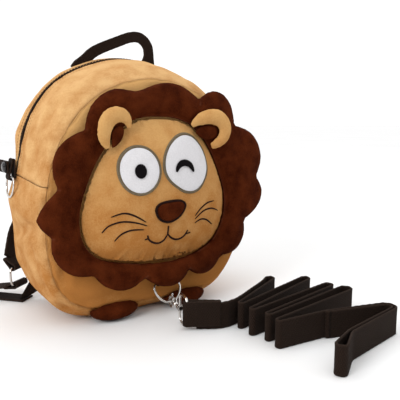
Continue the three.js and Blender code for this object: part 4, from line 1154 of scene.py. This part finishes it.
# %% Zip
ZIP_Y = 22.0
ZIP_LIFT = 3.2
ZIP_RADIUS = 118
TOOTH_PITCH = 1.7
TOOTH_SIZE = (1.25, 0.62, 0.7)
ARC_CENTRE_Z = 130

tape = copy_of("zipper", "zip_tape")
points = points_of(tape)
angle = np.arctan2(points[:, 2] - ARC_CENTRE_Z, points[:, 0])
lifted = ZIP_LIFT * eased(LIP_START, LIP_FULL, points[:, 2])
points += lifted[:, None] * np.column_stack([np.cos(angle), np.zeros(len(angle)), np.sin(angle)])
move_points(tape, points)
stamp(tape, "weave", np.column_stack([angle * ZIP_RADIUS, points[:, 1], np.zeros(len(points))]))
dressed(tape, dark_webbing, "webbing", "zipper")

def skin(trees, y, angle):
    """The outermost point at an angle round the bag, the way out there, and how far in it lies."""
    way = Vector((math.cos(angle), 0, math.sin(angle)))
    start = Vector((0, y, ARC_CENTRE_Z)) * MM + way * 0.4
    best = None
    for tree in trees:
        hit, normal = tree.ray_cast(start, -way)[:2]
        if hit and (best is None or (hit - start).length < best[2]):
            best = (hit / MM, normal, (hit - start).length)
    return best

def little_bars(name, places, size, finish, slot):
    """One mesh of small rounded bars: places are (point, along, out) in mm."""
    shape = bmesh.new()
    for point, along, out in places:
        side = out.cross(along).normalized()
        turn = Matrix((along.normalized(), side, out.normalized())).transposed().to_4x4()
        for v in bmesh.ops.create_icosphere(shape, subdivisions=1, radius=1.0)["verts"]:
            squared = math.copysign(abs(v.co.x) ** 0.6, v.co.x)
            grown = Vector((squared * size[0], v.co.y * size[1], v.co.z * size[2]))
            v.co = (turn @ grown + point) * MM
    mesh = bpy.data.meshes.new(name)
    shape.to_mesh(mesh)
    shape.free()
    dressed(new_piece(name, mesh), finish, slot)

def zip_teeth():
    tree = [tree_of(tape)]
    places, angle = [], math.radians(6)
    while angle < math.radians(174):
        found = skin(tree, ZIP_Y, angle)
        if found:
            point, out = found[:2]
            side = 0.55 if len(places) % 2 else -0.55
            places.append((point + Vector((0, side, 0)) + out * 0.35, Vector((0, 1, 0)), out))
            angle += TOOTH_PITCH / (point - Vector((0, ZIP_Y, ARC_CENTRE_Z))).length
        else:
            angle += 0.01
    little_bars("zip_teeth", places, TOOTH_SIZE, brown_thread, "webbing")

zip_teeth()

# %% [markdown]
# Rows of lockstitch hold the plush down beside the zip. A row is a line of short thread bars, each set
# on the plush by a line cast from outside.

# %% Topstitching
STITCH_LENGTH = 3.2
STITCH_SIZE = (1.15, 0.34, 0.3)
ROW_START, ROW_END = math.radians(3), math.radians(177)
ROWS = {"stitches_front_of_zip": 14.6, "stitches_front_of_zip_outer": 11.2, "stitches_behind_zip": 29.6}
bag_skin = [tree_of(panels[n]) for n in ("gusset_front", "gusset_back", "gusset_base")]

def stitch_row(name, y):
    places, angle = [], ROW_START
    while angle < ROW_END:
        here = skin(bag_skin, y, angle)
        radius = (here[0] - Vector((0, y, ARC_CENTRE_Z))).length if here else 100.0
        step = STITCH_LENGTH / max(60.0, radius)
        ahead = skin(bag_skin, y, angle + step)
        if here and ahead:
            along = ahead[0] - here[0]
            places.append(((here[0] + ahead[0]) / 2 + here[1] * 0.02, along, here[1]))
        angle += step
    little_bars(name, places, STITCH_SIZE, tan_thread, "plush")

for name, y in ROWS.items():
    stitch_row(name, y)
print("stitches made")
